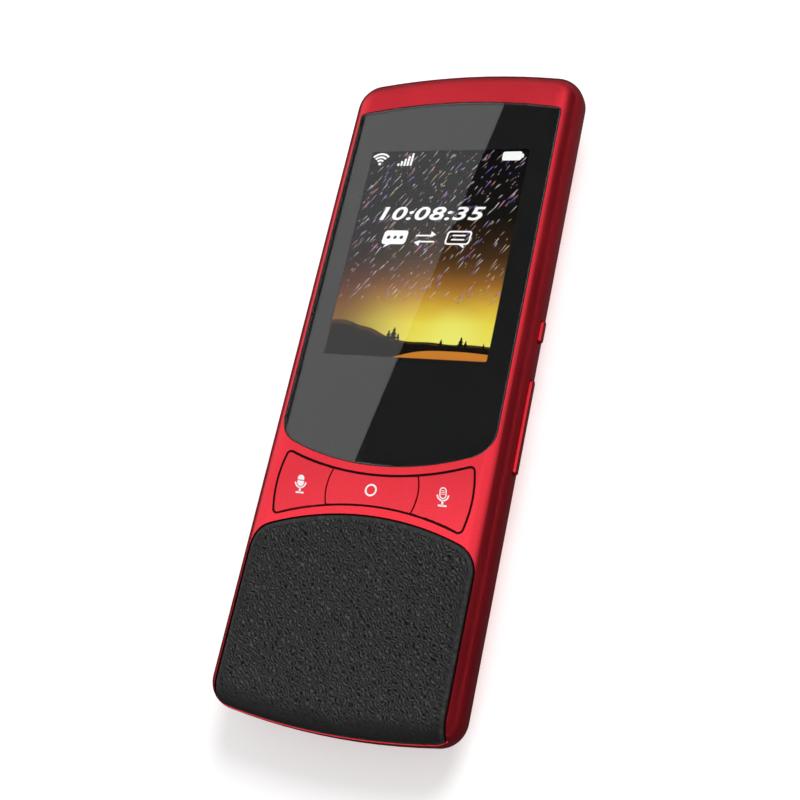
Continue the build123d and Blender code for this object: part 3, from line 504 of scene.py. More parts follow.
finishes = {
    "shell_red": anodisedMetal("redShell", anodised["shellColour"], anodised["roughness"]),
    "key_red": anodisedMetal("redKeys", anodised["keyColour"], anodised["roughness"] - 0.02),
    "cover_glass": clearGlass("coverGlass"),
    "film_black": mouldedPlastic(
        "blackFilm", rgb(0.0235, 0.0238, 0.0245), rgb(0.030, 0.030, 0.031), 0.6, 6000.0, 0.000001, 0.08
    ),
    "display": litPicture("eveningPicture"),
    "backlight": mouldedPlastic("lightGuide", rgb(0.70, 0.71, 0.72), rgb(0.82, 0.82, 0.82), 0.35),
    "flex_amber": printedBoard("amberFlex", rgb(0.42, 0.17, 0.03), rgb(0.80, 0.42, 0.16), 1100.0),
    "alloy": brushedMetal("castAlloy", rgb(0.55, 0.56, 0.57), rgb(0.40, 0.41, 0.42), (6.0, 6.0, 6.0), 0.45),
    "board_green": printedBoard("greenBoard", rgb(0.010, 0.085, 0.035), rgb(0.80, 0.56, 0.24), 750.0),
    "silicone": mouldedPlastic("greySilicone", rgb(0.16, 0.16, 0.17), rgb(0.24, 0.24, 0.25), 0.62, 2500.0),
    "leather": grainedLeather("blackLeather"),
    "plastic_black": mouldedPlastic(
        "blackPlastic", rgb(0.016, 0.016, 0.017), rgb(0.045, 0.045, 0.047), 0.48
    ),
    "steel": brushedMetal(
        "brushedSteel", rgb(0.66, 0.66, 0.65), rgb(0.48, 0.48, 0.48), (1.0, 25.0, 25.0)
    ),
    "tin": brushedMetal("tinPlate", rgb(0.72, 0.72, 0.70), rgb(0.58, 0.58, 0.57), (3.0, 3.0, 3.0), 0.3),
    "cell": cellWrap("cellFoil"),
    "tape": mouldedPlastic("pullTape", rgb(0.55, 0.56, 0.58), rgb(0.68, 0.68, 0.70), 0.3, 1800.0),
    "antenna": printedBoard("antennaFoil", rgb(0.05, 0.05, 0.055), rgb(0.76, 0.52, 0.22), 500.0),
    "card": cardPlastic("whiteCard"),
}
extras = {
    "white ink": mouldedPlastic(
        "whiteInk", rgb(0.93, 0.90, 0.91), rgb(0.97, 0.95, 0.96), 0.5, 7000.0, 0.000001, 0.3
    ),
    # a near-black ring of painted shade in the groove round the keys
    "grooveShade": mouldedPlastic(
        "grooveShadeDark", rgb(0.012, 0.002, 0.003), rgb(0.020, 0.004, 0.005), 0.7, 3000.0, 0.000002, 0.1
    ),
    "white light": litMarks("whiteMarks", rgb(1.0, 1.0, 1.0), 1.05),
    "dark land": litMarks("darkLand", rgb(0.0035, 0.0025, 0.0020)),
    "far land": litMarks("farLand", rgb(0.060, 0.028, 0.006)),
    "shore": litMarks("shoreLight", rgb(0.62, 0.22, 0.028)),
    "sparks": litSparks("risingSparks"),
    "gilt": brushedMetal(
        "giltContacts", rgb(0.86, 0.62, 0.28), rgb(0.70, 0.48, 0.20), (2.0, 2.0, 2.0), 0.25
    ),
}

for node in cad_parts.values():
    for holder in node.material_slots:
        holder.material = finishes[holder.material.name]
print("materials assigned")


# Piece helpers

def newPiece(name, mesh, body, material, smooth=False):
    mesh.name = name
    mesh.materials.clear()
    mesh.materials.append(material)
    mesh.polygons.foreach_set("use_smooth", [smooth] * len(mesh.polygons))
    piece = bpy.data.objects.new(name, mesh)
    scene.collection.objects.link(piece)
    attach(piece, body)
    return piece


def meshFrom(name, corners, faces, **numbers):
    # a mesh in metres, with one number for each corner where an attribute is named
    mesh = bpy.data.meshes.new(name)
    mesh.from_pydata(corners, [], faces)
    for attribute, values in numbers.items():
        mesh.attributes.new(attribute, "FLOAT", "POINT").data.foreach_set("value", values)
    return mesh


def inMetres(corners):
    return [(x * mm, y * mm, z * mm) for x, y, z in corners]


def evaluatedMesh(carrier):
    # the plain mesh of a curve or of an object with a modifier, which then goes
    scene.collection.objects.link(carrier)
    bpy.context.view_layer.update()
    mesh = bpy.data.meshes.new_from_object(carrier.evaluated_get(bpy.context.evaluated_depsgraph_get()))
    bpy.data.objects.remove(carrier)
    return mesh


def flatShape(name, loops, heights, body, material):
    # closed loops in millimetres, holes inside outlines, raised between two heights
    lower, upper = heights
    curve = bpy.data.curves.new(name, "CURVE")
    curve.dimensions = "2D"
    curve.fill_mode = "BOTH"
    curve.extrude = (upper - lower) / 2 * mm
    for loop in loops:
        spline = curve.splines.new("POLY")
        spline.points.add(len(loop) - 1)
        for point, (x, y) in zip(spline.points, loop):
            point.co = (x * mm, y * mm, 0.0, 1.0)
        spline.use_cyclic_u = True
    mesh = evaluatedMesh(bpy.data.objects.new("carrier", curve))
    mesh.transform(Matrix.Translation((0.0, 0.0, (lower + upper) / 2 * mm)))
    newPiece(name, mesh, body, material)


def arc(x, y, radius, start, end, steps=24):
    turns = [math.radians(start + (end - start) * i / steps) for i in range(steps + 1)]
    return [(x + radius * math.cos(turn), y + radius * math.sin(turn)) for turn in turns]


def disc(x, y, radius):
    return arc(x, y, radius, 0, 360, 40)[:-1]


def band(x, y, outer, inner, start, end):
    return arc(x, y, outer, start, end) + arc(x, y, inner, end, start)


def box(left, right, low, high):
    return [(left, low), (right, low), (right, high), (left, high)]


def plate(x, y, width, height, corner):
    # a rectangle with round corners about its middle
    half, rise = width / 2 - corner, height / 2 - corner
    points = []
    for side, end, angle in ((1, 1, 0), (-1, 1, 90), (-1, -1, 180), (1, -1, 270)):
        points += arc(x + side * half, y + end * rise, corner, angle, angle + 90, 8)
    return points


def lean(loops, slant, about):
    return [[(x + slant * (y - about), y) for x, y in loop] for loop in loops]


# Outlines

def smooth(value, low, high):
    share = min(max((value - low) / (high - low), 0.0), 1.0)
    return share * share * (3 - 2 * share)


class BowedEnd:
    # one end of an outline: an arc across, and a round corner at each side

    def __init__(self, side, bow, corner):
        self.side, self.corner = side, corner
        self.radius = (side ** 2 + bow ** 2) / (2 * bow)
        self.cornerX = side - corner
        self.cornerDown = self.radius - math.sqrt((self.radius - corner) ** 2 - self.cornerX ** 2)
        self.joinX = self.cornerX * self.radius / (self.radius - corner)

    def depth(self, x, drawnIn=0.0):
        # how far below its apex the outline, or one drawn in from it, runs at x
        x = min(abs(x), self.side - drawnIn)
        if x * self.radius <= self.joinX * (self.radius - drawnIn):
            return self.radius - math.sqrt((self.radius - drawnIn) ** 2 - x ** 2)
        return self.cornerDown - math.sqrt(max((self.corner - drawnIn) ** 2 - (x - self.cornerX) ** 2, 0.0))

    def inCorner(self, x, down):
        # whether the round corner is what a point lies nearest to
        beyond = x * (self.radius - self.cornerDown) > self.cornerX * (self.radius - down)
        return down < self.cornerDown and beyond

    def inset(self, x, down):
        # how far inside the outline a point lies that is down from the apex
        x = abs(x)
        if self.inCorner(x, down):
            return self.corner - math.hypot(x - self.cornerX, down - self.cornerDown)
        return min(self.side - x, self.radius - math.hypot(x, down - self.radius))

    def outward(self, x, down):
        # the way straight out of the outline from a point inside it, as steps in x and y
        across = abs(x)
        if self.inCorner(across, down):
            steps = (across - self.cornerX, down - self.cornerDown)
        elif self.side - across < self.radius - math.hypot(across, down - self.radius):
            steps = (1.0, 0.0)
        else:
            steps = (across, down - self.radius)
        length = math.hypot(*steps) or 1.0
        return math.copysign(steps[0] / length, x), steps[1] / length


def shrunk(side, bow, corner, by):
    radius = (side ** 2 + bow ** 2) / (2 * bow) - by
    return BowedEnd(side - by, radius - math.sqrt(radius ** 2 - (side - by) ** 2), corner - by)


# Cover glass, its front edge ground to a small chamfer and its underside just clear of the film

glassPane = {
    "side": 23.5, "top": 63.85, "topBow": 2.2, "topCorner": 0.8,
    "bottom": -20.55, "bottomBow": 5.2, "bottomCorner": 6.0,
    "front": 10.2, "underside": 9.43, "ground": 0.14, "steps": 48,
}


def paneLoop(inward, z):
    # once round the glass, or a line drawn in from its edge, starting at the lower left
    top = shrunk(glassPane["side"], glassPane["topBow"], glassPane["topCorner"], inward)
    bottom = shrunk(glassPane["side"], glassPane["bottomBow"], glassPane["bottomCorner"], inward)
    side, steps = glassPane["side"] - inward, glassPane["steps"]
    xs = [-side * math.cos(math.pi * i / steps) for i in range(steps + 1)]
    loop = [(x, glassPane["bottom"] + inward + bottom.depth(x), z) for x in xs]
    return loop + [(x, glassPane["top"] - inward - top.depth(x), z) for x in reversed(xs)]


def makeGlassPane():
    ground = glassPane["ground"]
    rings = [
        paneLoop(0.0, glassPane["underside"]),
        paneLoop(0.0, glassPane["front"] - ground),
        paneLoop(ground, glassPane["front"]),
    ]
    count = len(rings[0])
    faces = []
    for low in (0, count):
        for k in range(count):
            after = (k + 1) % count
            faces.append((low + k, low + after, low + count + after, low + count + k))
    faces += [tuple(reversed(range(count))), tuple(range(2 * count, 3 * count))]
    mesh = meshFrom("glassPane", inMetres(rings[0] + rings[1] + rings[2]), faces)
    pane = newPiece("glassPane", mesh, "housing", finishes["cover_glass"])
    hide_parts("cover_glass")


makeGlassPane()


# What the display shows

pictureLayer = {
    "far": (9.26, 9.268), "near": (9.27, 9.28), "firs": (9.28, 9.284), "shore": (9.28, 9.285),
    "sparks": 9.27, "marks": (9.29, 9.32),
}
landShape = {
    "ground": ((18.3, 3.06), (-18.3, 3.06)),
    "near": (
        (-18.3, 10.3), (-16.4, 10.15), (-14.0, 9.9), (-11.8, 9.1), (-9.5, 8.8), (-7.2, 7.8),
        (-5.4, 7.45), (-3.0, 6.6), (-0.6, 6.35), (1.8, 6.15), (4.2, 6.3), (7.0, 6.0),
        (9.4, 6.2), (12.4, 5.9), (15.4, 6.05), (18.3, 5.8),
    ),
    "far": (
        (-18.3, 11.0), (-15.2, 11.1), (-12.0, 10.1), (-8.4, 9.3), (-4.5, 7.6),
        (0.0, 6.75), (5.2, 6.75), (10.0, 6.4), (14.0, 6.55), (18.3, 6.3),
    ),
    "firs": (
        (-13.1, 9.4, 1.5), (-12.3, 9.2, 1.1), (-4.4, 6.9, 2.3), (-3.3, 6.6, 3.3), (-2.2, 6.4, 2.1),
        (7.6, 6.0, 1.6), (11.9, 5.8, 2.5), (13.0, 5.8, 1.7), (16.9, 5.7, 1.3),
    ),
    "shore": ((-2.4, 3.1), (1.6, 4.3), (5.4, 4.85), (10.5, 4.95), (14.5, 4.85), (18.2, 4.6)),
    "shoreEnd": (18.2, 3.1),
}
# shares of a fir's height, and how deep its trunk stands in the land
firForm = {"reach": 0.12, "tier": 0.29, "narrowing": 0.45, "step": 0.02, "trunk": 0.04, "root": 0.3}


def displayShape(name, loops, layer, material):
    flatShape(name, loops, pictureLayer[layer], "housing", extras[material])


def smoothLine(points, steps=8):
    # a rounded line through the given points
    line = []
    for i in range(len(points) - 1):
        before, start = Vector(points[max(i - 1, 0)]), Vector(points[i])
        end, after = Vector(points[i + 1]), Vector(points[min(i + 2, len(points) - 1)])
        for step in range(steps):
            t = step / steps
            line.append(tuple(0.5 * (
                2 * start + (end - before) * t + (2 * before - 5 * start + 4 * end - after) * t ** 2
                + (3 * start - before - 3 * end + after) * t ** 3
            )))
    return line + [points[-1]]


def fir(x, base, height):
    # three tiers, each wider than the one above
    side = []
    for tier in (1, 2, 3):
        reach, level = height * firForm["reach"] * tier, base + height * (1 - firForm["tier"] * tier)
        side += [(reach, level), (reach * firForm["narrowing"], level + height * firForm["step"])]
    side += [(height * firForm["trunk"], base - firForm["root"])]
    right = [(x + reach, level) for reach, level in side]
    left = [(x - reach, level) for reach, level in reversed(side)]
    return [(x, base + height)] + right + left


def makeLand():
    ground = list(landShape["ground"])
    displayShape("pictureFarLand", [smoothLine(landShape["far"]) + ground], "far", "far land")
    displayShape("pictureNearLand", [smoothLine(landShape["near"]) + ground], "near", "dark land")
    displayShape("pictureFirs", [fir(*tree) for tree in landShape["firs"]], "firs", "dark land")
    displayShape("pictureShore", [smoothLine(landShape["shore"]) + [landShape["shoreEnd"]]], "shore", "shore")


makeLand()


def grow(name, build, values, material):
    # a Geometry Nodes tree with an input for each value, run once for its plain mesh
    tree = bpy.data.node_groups.new(name, "GeometryNodeTree")
    kinds = {label: "Int" if isinstance(value, int) else "Float" for label, value in values.items()}
    for label, kind in {"Geometry": "Geometry", **kinds, "Material": "Material"}.items():
        tree.interface.new_socket(name=label, in_out="INPUT", socket_type="NodeSocket" + kind)
    tree.interface.new_socket(name="Geometry", in_out="OUTPUT", socket_type="NodeSocketGeometry")
    into = tree.nodes.new("NodeGroupInput").outputs
    real = addNode(tree, "GeometryNodeRealizeInstances", {"Geometry": build(tree, into)}).outputs[0]
    painted = addNode(tree, "GeometryNodeSetMaterial", {"Geometry": real, "Material": into["Material"]})
    addNode(tree, "NodeGroupOutput", {"Geometry": painted.outputs[0]})
    carrier = bpy.data.objects.new("carrier", bpy.data.meshes.new("seed"))
    modifier = carrier.modifiers.new("growth", "NODES")
    modifier.node_group = tree
    given = {**values, "Material": material}
    for item in tree.interface.items_tree:
        if item.in_out == "INPUT" and item.name in given:
            modifier[item.identifier] = given[item.name]
    return newPiece(name, evaluatedMesh(carrier), "housing", material)


def moved(tree, geometry, x, y, z):
    settings = {"Geometry": geometry, "Translation": joinXYZ(tree, x, y, z)}
    return addNode(tree, "GeometryNodeTransform", settings).outputs[0]


def joined(tree, *parts):
    made = tree.nodes.new("GeometryNodeJoinGeometry")
    for part in parts:
        tree.links.new(part, made.inputs[0])
    return made.outputs[0]


def copied(tree, points, instance, **settings):
    inputs = {"Points": points, "Instance": instance, **settings}
    return addNode(tree, "GeometryNodeInstanceOnPoints", inputs).outputs[0]


def storeNumber(tree, geometry, name, value, domain):
    inputs = {"Geometry": geometry, "Name": name, "Value": value}
    kind = "GeometryNodeStoreNamedAttribute"
    return addNode(tree, kind, inputs, data_type="FLOAT", domain=domain).outputs[0]


sparkField = {
    "Width": 35.6 * mm, "Height": 35.5 * mm, "Centre X": 0.0, "Centre Y": 33.9 * mm,
    "Level": pictureLayer["sparks"] * mm, "Density": 440000.0, "Seed": 7,
    "Thinnest": 0.06 * mm, "Thickest": 0.12 * mm, "Shortest": 0.09 * mm, "Longest": 1.45 * mm,
    "Least Turn": 0.86, "Most Turn": 1.12,
}


def scatteredSparks(tree, into):
    # short strokes and dots, leaning a little differently each
    def chance(offset, low=0.0, high=1.0):
        terms = {2: low, 3: high, "Seed": calc(tree, "ADD", into["Seed"], offset)}
        return addNode(tree, "FunctionNodeRandomValue", terms, data_type="FLOAT").outputs[1]

    def between(share, low, high):
        return calc(tree, "MULTIPLY_ADD", share, calc(tree, "SUBTRACT", into[high], into[low]), into[low])

    field = addNode(tree, "GeometryNodeMeshGrid", {
        "Size X": into["Width"], "Size Y": into["Height"], "Vertices X": 2, "Vertices Y": 2,
    })
    points = addNode(tree, "GeometryNodeDistributePointsOnFaces", {
        "Mesh": field.outputs[0], "Density": into["Density"], "Seed": into["Seed"],
    })
    dot = addNode(tree, "GeometryNodeMeshCircle", {"Vertices": 14, "Radius": 1.0}, fill_type="TRIANGLE_FAN")
    across = splitXYZ(tree, addNode(tree, "GeometryNodeInputPosition").outputs[0])["X"]
    headed = storeNumber(tree, dot.outputs[0], "head", calc(tree, "MULTIPLY_ADD", across, 0.5, 0.5), "POINT")
    length = between(calc(tree, "POWER", chance(1), 1.9), "Shortest", "Longest")
    thickness = between(calc(tree, "POWER", chance(2), 2.0), "Thinnest", "Thickest")
    width = calc(tree, "MINIMUM", thickness, length)
    turn = joinXYZ(tree, z=chance(3, into["Least Turn"], into["Most Turn"]))
    size = joinXYZ(tree, length, width, 1.0)
    sparks = copied(tree, points.outputs[0], headed, Scale=size, Rotation=turn)
    tinted = storeNumber(tree, sparks, "tint", chance(4), "INSTANCE")
    return moved(tree, tinted, into["Centre X"], into["Centre Y"], into["Level"])


grow("pictureSparks", scatteredSparks, sparkField, extras["sparks"])

clock = {
    "digits": "10:08:35", "left": -12.9, "right": 11.2, "base": 34.9, "top": 38.15,
    "slant": 0.22, "weight": 0.022, "spacing": 1.08, "resolution": 6,
}


def makeClock():
    text = bpy.data.curves.new("clockDigits", "FONT")
    text.body = clock["digits"]
    text.shear = clock["slant"]
    text.offset = clock["weight"]
    text.space_character = clock["spacing"]
    text.resolution_u = clock["resolution"]
    mesh = evaluatedMesh(bpy.data.objects.new("carrier", text))
    xs = [v.co.x for v in mesh.vertices]
    ys = [v.co.y for v in mesh.vertices]
    wide = (clock["right"] - clock["left"]) / (max(xs) - min(xs)) * mm
    tall = (clock["top"] - clock["base"]) / (max(ys) - min(ys)) * mm
    for corner in mesh.vertices:
        corner.co = (
            clock["left"] * mm + (corner.co.x - min(xs)) * wide,
            clock["base"] * mm + (corner.co.y - min(ys)) * tall,
            pictureLayer["marks"][1] * mm,
        )
    newPiece("clockDigits", mesh, "housing", extras["white light"])


makeClock()

statusRow = {
    "wifi": (-16.1, 48.95), "wifiRadii": (0.34, 1.15, 1.95, 2.75), "wifiStroke": 0.46, "wifiSpread": 47,
    "bars": (-11.75, 48.4), "barPitch": 0.74, "barWidth": 0.48, "barHeights": (0.6, 1.15, 1.75, 2.4, 3.1),
    "barSlant": 0.05, "cell": (14.6, 50.35, 4.3, 2.15, 0.5), "knob": (16.95, 50.35, 0.5, 1.0, 0.2),
}


def makeStatusRow():
    x, y = statusRow["wifi"]
    spread = statusRow["wifiSpread"]
    loops = [disc(x, y, statusRow["wifiRadii"][0])]
    for radius in statusRow["wifiRadii"][1:]:
        loops.append(band(x, y, radius, radius - statusRow["wifiStroke"], 90 - spread, 90 + spread))
    left, base = statusRow["bars"]
    for i, height in enumerate(statusRow["barHeights"]):
        start = left + i * statusRow["barPitch"]
        bar = box(start, start + statusRow["barWidth"], base, base + height)
        loops += lean([bar], statusRow["barSlant"], base)
    loops += [plate(*statusRow["cell"]), plate(*statusRow["knob"])]
    displayShape("statusMarks", loops, "marks", "white light")


makeStatusRow()

swapRow = {
    "middle": 30.5, "slant": 0.12, "stroke": 0.36,
    "bubble": (5.6, 3.3), "bubbleX": (-8.2, 6.4), "bubbleRise": 0.25,
    "bubbleCorner": 0.75, "innerCorner": 0.5,
    "tail": (0.55, 0.9, 0.85), "dots": (-1.5, 0.0, 1.5), "dotRadius": 0.42,
    "lines": (0.55, -0.45), "line": (3.0, 0.34, 0.16),
    "arrowX": -1.1, "arrowReach": 2.3, "arrowRise": 0.72, "headLength": 1.3, "barbs": (0.2, 1.05),
}


def bubble(x, y, side):
    # a rounded box, and the tail that points down and outwards from it
    width, height = swapRow["bubble"]
    half, reach, drop = swapRow["tail"]
    root, base = x + side * width * 0.2, y - height / 2
    tail = [(root - half, base - 0.01), (root + half, base - 0.01), (root + side * reach, base - drop)]
    return [plate(x, y, width, height, swapRow["bubbleCorner"]), tail]


def arrow(x, y, way):
    # a shaft and its head, to the right for 1 and to the left for -1
    reach, shaft = swapRow["arrowReach"], swapRow["stroke"] / 2
    neck = reach - swapRow["headLength"]
    low, high = swapRow["barbs"]
    steps = (
        (-reach, -shaft), (neck, -shaft), (neck, -low - shaft), (reach, shaft),
        (neck, high), (neck, shaft), (-reach, shaft),
    )
    return [(x + way * across, y + way * up) for across, up in steps]


def makeSwapRow():
    y = swapRow["middle"]
    level = y + swapRow["bubbleRise"]
    (width, height), stroke = swapRow["bubble"], swapRow["stroke"]
    leftX, rightX = swapRow["bubbleX"]
    loops = bubble(leftX, level, -1)
    loops += [disc(leftX + step, level, swapRow["dotRadius"]) for step in swapRow["dots"]]
    loops += bubble(rightX, level, 1)
    loops.append(plate(rightX, level, width - 2 * stroke, height - 2 * stroke, swapRow["innerCorner"]))
    loops += [plate(rightX, level + rise, *swapRow["line"]) for rise in swapRow["lines"]]
    loops += [arrow(swapRow["arrowX"], y + way * swapRow["arrowRise"], way) for way in (1, -1)]
    displayShape("swapMarks", lean(loops, swapRow["slant"], y), "marks", "white light")


makeSwapRow()
print("display made")


# Painted shade round the keys: a near-black ring just under the front surface darkens the groove between the
# keys and the case

keypad = {
    "centre": -25.65, "half": 20.35, "rise": 6.95, "waist": 3.7, "sideBow": 1.0, "corner": 1.0,
    "shadeLevels": (9.2, 9.97), "shadeOutside": 0.19, "shadeInside": -0.12,
}


def keypadLoop(grown):
    # the bow tie's outline: long edges that dip, short ones that bow out, and round corners
    half, rise, corner = keypad["half"], keypad["rise"], keypad["corner"]
    long = (half ** 2 + keypad["waist"] ** 2) / (2 * keypad["waist"])
    short = (rise ** 2 + keypad["sideBow"] ** 2) / (2 * keypad["sideBow"])
    above = Vector((0.0, rise - keypad["waist"] + long))
    inside = Vector((half + keypad["sideBow"] - short, 0.0))
    apart = (inside - above).length
    along = ((long + corner) ** 2 - (short - corner) ** 2 + apart ** 2) / (2 * apart)
    aside = math.sqrt((long + corner) ** 2 - along ** 2)
    toward = (inside - above) / apart
    middle = above + toward * along + Vector((-toward.y, toward.x)) * aside
    fromAbove = math.degrees(math.atan2(middle.y - above.y, middle.x - above.x))
    fromInside = math.degrees(math.atan2(middle.y - inside.y, middle.x - inside.x))
    quarter = arc(above.x, above.y, long - grown, -90, fromAbove, 12)
    quarter += arc(middle.x, middle.y, corner + grown, 180 + fromAbove, fromInside, 6)
    quarter += arc(inside.x, inside.y, short + grown, fromInside, 0, 6)
    halfLoop = quarter + [(x, -y) for x, y in reversed(quarter[:-1])]
    loop = halfLoop + [(-x, y) for x, y in reversed(halfLoop[1:-1])]
    return [(x, keypad["centre"] + y) for x, y in loop]


grooveShadeLoops = [keypadLoop(keypad["shadeOutside"]), keypadLoop(keypad["shadeInside"])]
flatShape("keyGrooveShade", grooveShadeLoops, keypad["shadeLevels"], "housing", extras["grooveShade"])


# Marks printed on the keys

keyMark = {
    "printed": (10.199, 10.214), "left": (-15.95, -25.02), "right": (15.1, -24.72), "centre": (-0.1, -25.62),
    "slant": -0.145, "half": 0.74, "rise": 1.12, "drop": 1.22, "gap": 0.1, "outline": 0.22,
    "cradle": ((1.34, 1.42), (1.03, 1.12)), "cradleDrop": 0.28, "stem": (0.22, 1.6, 2.5),
    "foot": (1.86, 0.36, 0.15), "footDrop": 2.56, "lines": (0.42, 0.08, -0.26), "line": (0.72, 0.13, 0.06),
    "ring": (1.28, 0.91),
}


def micHead(x, y, inward=0.0):
    # a long rounded head, split or outlined by its caller
    half = keyMark["half"] - inward
    upper = arc(x, y + keyMark["rise"] - keyMark["half"], half, 0, 180, 16)
    return upper + arc(x, y - keyMark["drop"] + keyMark["half"], half, 180, 360, 16)


def micStand(x, y):
    # cradle, stem and foot
    middle = y - keyMark["cradleDrop"]
    turns = [math.radians(angle) for angle in range(188, 361, 8)]
    outside, inside = (
        [(x + wide * math.cos(turn), middle + tall * math.sin(turn)) for turn in turns]
        for wide, tall in keyMark["cradle"]
    )
    half, upper, lower = keyMark["stem"]
    stem = box(x - half, x + half, y - upper, y - lower)
    return [outside + inside[::-1], stem, plate(x, y - keyMark["footDrop"], *keyMark["foot"])]


def printMark(side, loops):
    flatShape(side + "KeyMark", loops, keyMark["printed"], "key_" + side, extras["white ink"])


def makeKeyMarks():
    half, gap, slant = keyMark["half"], keyMark["gap"], keyMark["slant"]
    x, y = keyMark["left"]
    above = [point for point in micHead(x, y) if point[1] > y] + [(x - half, y + gap), (x + half, y + gap)]
    below = [(x - half, y - gap)] + [point for point in micHead(x, y) if point[1] < y] + [(x + half, y - gap)]
    printMark("left", lean([above, below] + micStand(x, y), slant, y))
    x, y = keyMark["right"]
    lines = [plate(x, y + rise, *keyMark["line"]) for rise in keyMark["lines"]]
    loops = [micHead(x, y), micHead(x, y, keyMark["outline"])] + lines + micStand(x, y)
    printMark("right", lean(loops, slant, y))
    printMark("centre", [disc(*keyMark["centre"], radius) for radius in keyMark["ring"]])


makeKeyMarks()
print("key marks printed")


# Leather pad: it follows the case's front, rolls over the bottom end and runs down it

caseForm = {"side": 26.6, "bottom": -72.75, "bow": 2.5, "corner": 5.5, "front": 10.2, "roll": 4.8}
padForm = {
    "side": 24.2, "top": -30.9, "topBow": 5.05, "topCorner": 5.8, "foot": 6.6,
    "seat": 7.03, "thickness": 1.0, "skirt": 0.93, "flap": 0.58,
    "edgeRoll": 0.75, "edgeDrop": 0.42, "footDrop": 0.24, "foldShare": 1.5, "footSteps": 4, "apart": 0.02,
    "columns": 400, "rows": 360, "innerStep": 8, "edgeBand": 1.0, "edgeSteps": 8, "lineSteps": 240,
}
pebble = {
    "pitch": 0.62, "turn": 42.0, "bends": ((0.9, 0.16), (0.95, 0.75), (0.50, 1.9)),
    "contrast": (0.27, 0.72), "patch": 1.7, "least": 0.06, "speckle": 0.26, "speckleScale": 2.6,
    "depth": 0.13, "lift": 0.02, "edgeBare": 0.15, "edgeFade": 1.2,
    "endBare": 2.4, "endFade": 4.5, "endKeep": 0.15, "sideBare": 0.6, "sideFade": 3.5, "sideKeep": 0.6,
    "wavering": 1.3, "waveringScale": 0.16, "sideWavering": 0.4,
    # plainTone is the smooth leather's tone; the rest set a painted highlight in a band just inside the pad's
    # edge
    "plainTone": 0.42, "rubbedAndPaintedSheen": (0.10, 0.32, 0.7, 1.4), "edgeHighlightTone": 0.78, "edgeHighlightPatches": (0.8, 0.3, 1.1),
}

caseEnd = BowedEnd(caseForm["side"], caseForm["bow"], caseForm["corner"])
padTop = BowedEnd(padForm["side"], padForm["topBow"], padForm["topCorner"])


def rolledHeight(x, y, inward=0.0):
    # the case's front surface, or one drawn in from it
    roll = caseForm["roll"] - inward
    inset = caseEnd.inset(x, y - caseForm["bottom"]) - inward
    short = max(roll - max(inset, 0.0), 0.0)
    return caseForm["front"] - inward - (roll - math.sqrt(max(roll ** 2 - short ** 2, 0.0)))


def surfaceNormal(x, y):
    away = caseEnd.outward(x, y - caseForm["bottom"])
    inset = caseEnd.inset(x, y - caseForm["bottom"])
    tilt = min(max((caseForm["roll"] - inset) / caseForm["roll"], 0.0), 1.0)
    return Vector((away[0] * tilt, away[1] * tilt, math.sqrt(1 - tilt ** 2)))


def downThePad(x, top, drawnIn, hollow):
    # the pad's surface at one x, from its foot up to its top, as y and z with the length so far
    foot, seat, steps = padForm["foot"], padForm["seat"], padForm["lineSteps"]
    bottom = caseForm["bottom"] + caseEnd.depth(x, drawnIn)
    rising = padForm["footSteps"]
    line = [(bottom, foot + (seat - foot) * i / rising) for i in range(rising)] if hollow else []
    for i in range(steps + 1):
        y = bottom + (top - bottom) * (1 - math.cos(math.pi / 2 * i / steps))
        z = rolledHeight(x, y, padForm["thickness"] if hollow else 0.0)
        if hollow:
            z = max(z, seat + padForm["apart"])
        if z >= foot:
            line.append((y, z))
    lengths = [0.0]
    for before, after in zip(line, line[1:]):
        lengths.append(lengths[-1] + math.dist(before, after))
    return line, lengths


def alongLine(line, lengths, wanted):
    # points of the line at rising lengths
    found, k = [], 1
    for length in wanted:
        while k < len(lengths) - 1 and lengths[k] < length:
            k += 1
        share = min(max((length - lengths[k - 1]) / (lengths[k] - lengths[k - 1]), 0.0), 1.0)
        found.append(tuple(a + (b - a) * share for a, b in zip(line[k - 1], line[k])))
    return found


def softNoise(x, y, scale, layer):
    return noise.noise(Vector((x * scale, y * scale, layer)))


def pebbleAt(x, y):
    # near 1 on the crown of a winding ridge and near 0 in the hollows beside it
    angle = math.radians(pebble["turn"])
    phase = (x * math.sin(angle) + y * math.cos(angle)) / pebble["pitch"]
    for layer, (reach, scale) in enumerate(pebble["bends"]):
        phase += reach * softNoise(x, y, scale, 3.0 + layer)
    low, varying = pebble["contrast"]
    strength = max(low + varying * softNoise(x, y, pebble["patch"], 17.0), pebble["least"])
    speckle = pebble["speckle"] * softNoise(x, y, pebble["speckleScale"], 9.0)
    return min(max(0.5 + strength * math.sin(math.tau * phase) + speckle, 0.0), 1.0)


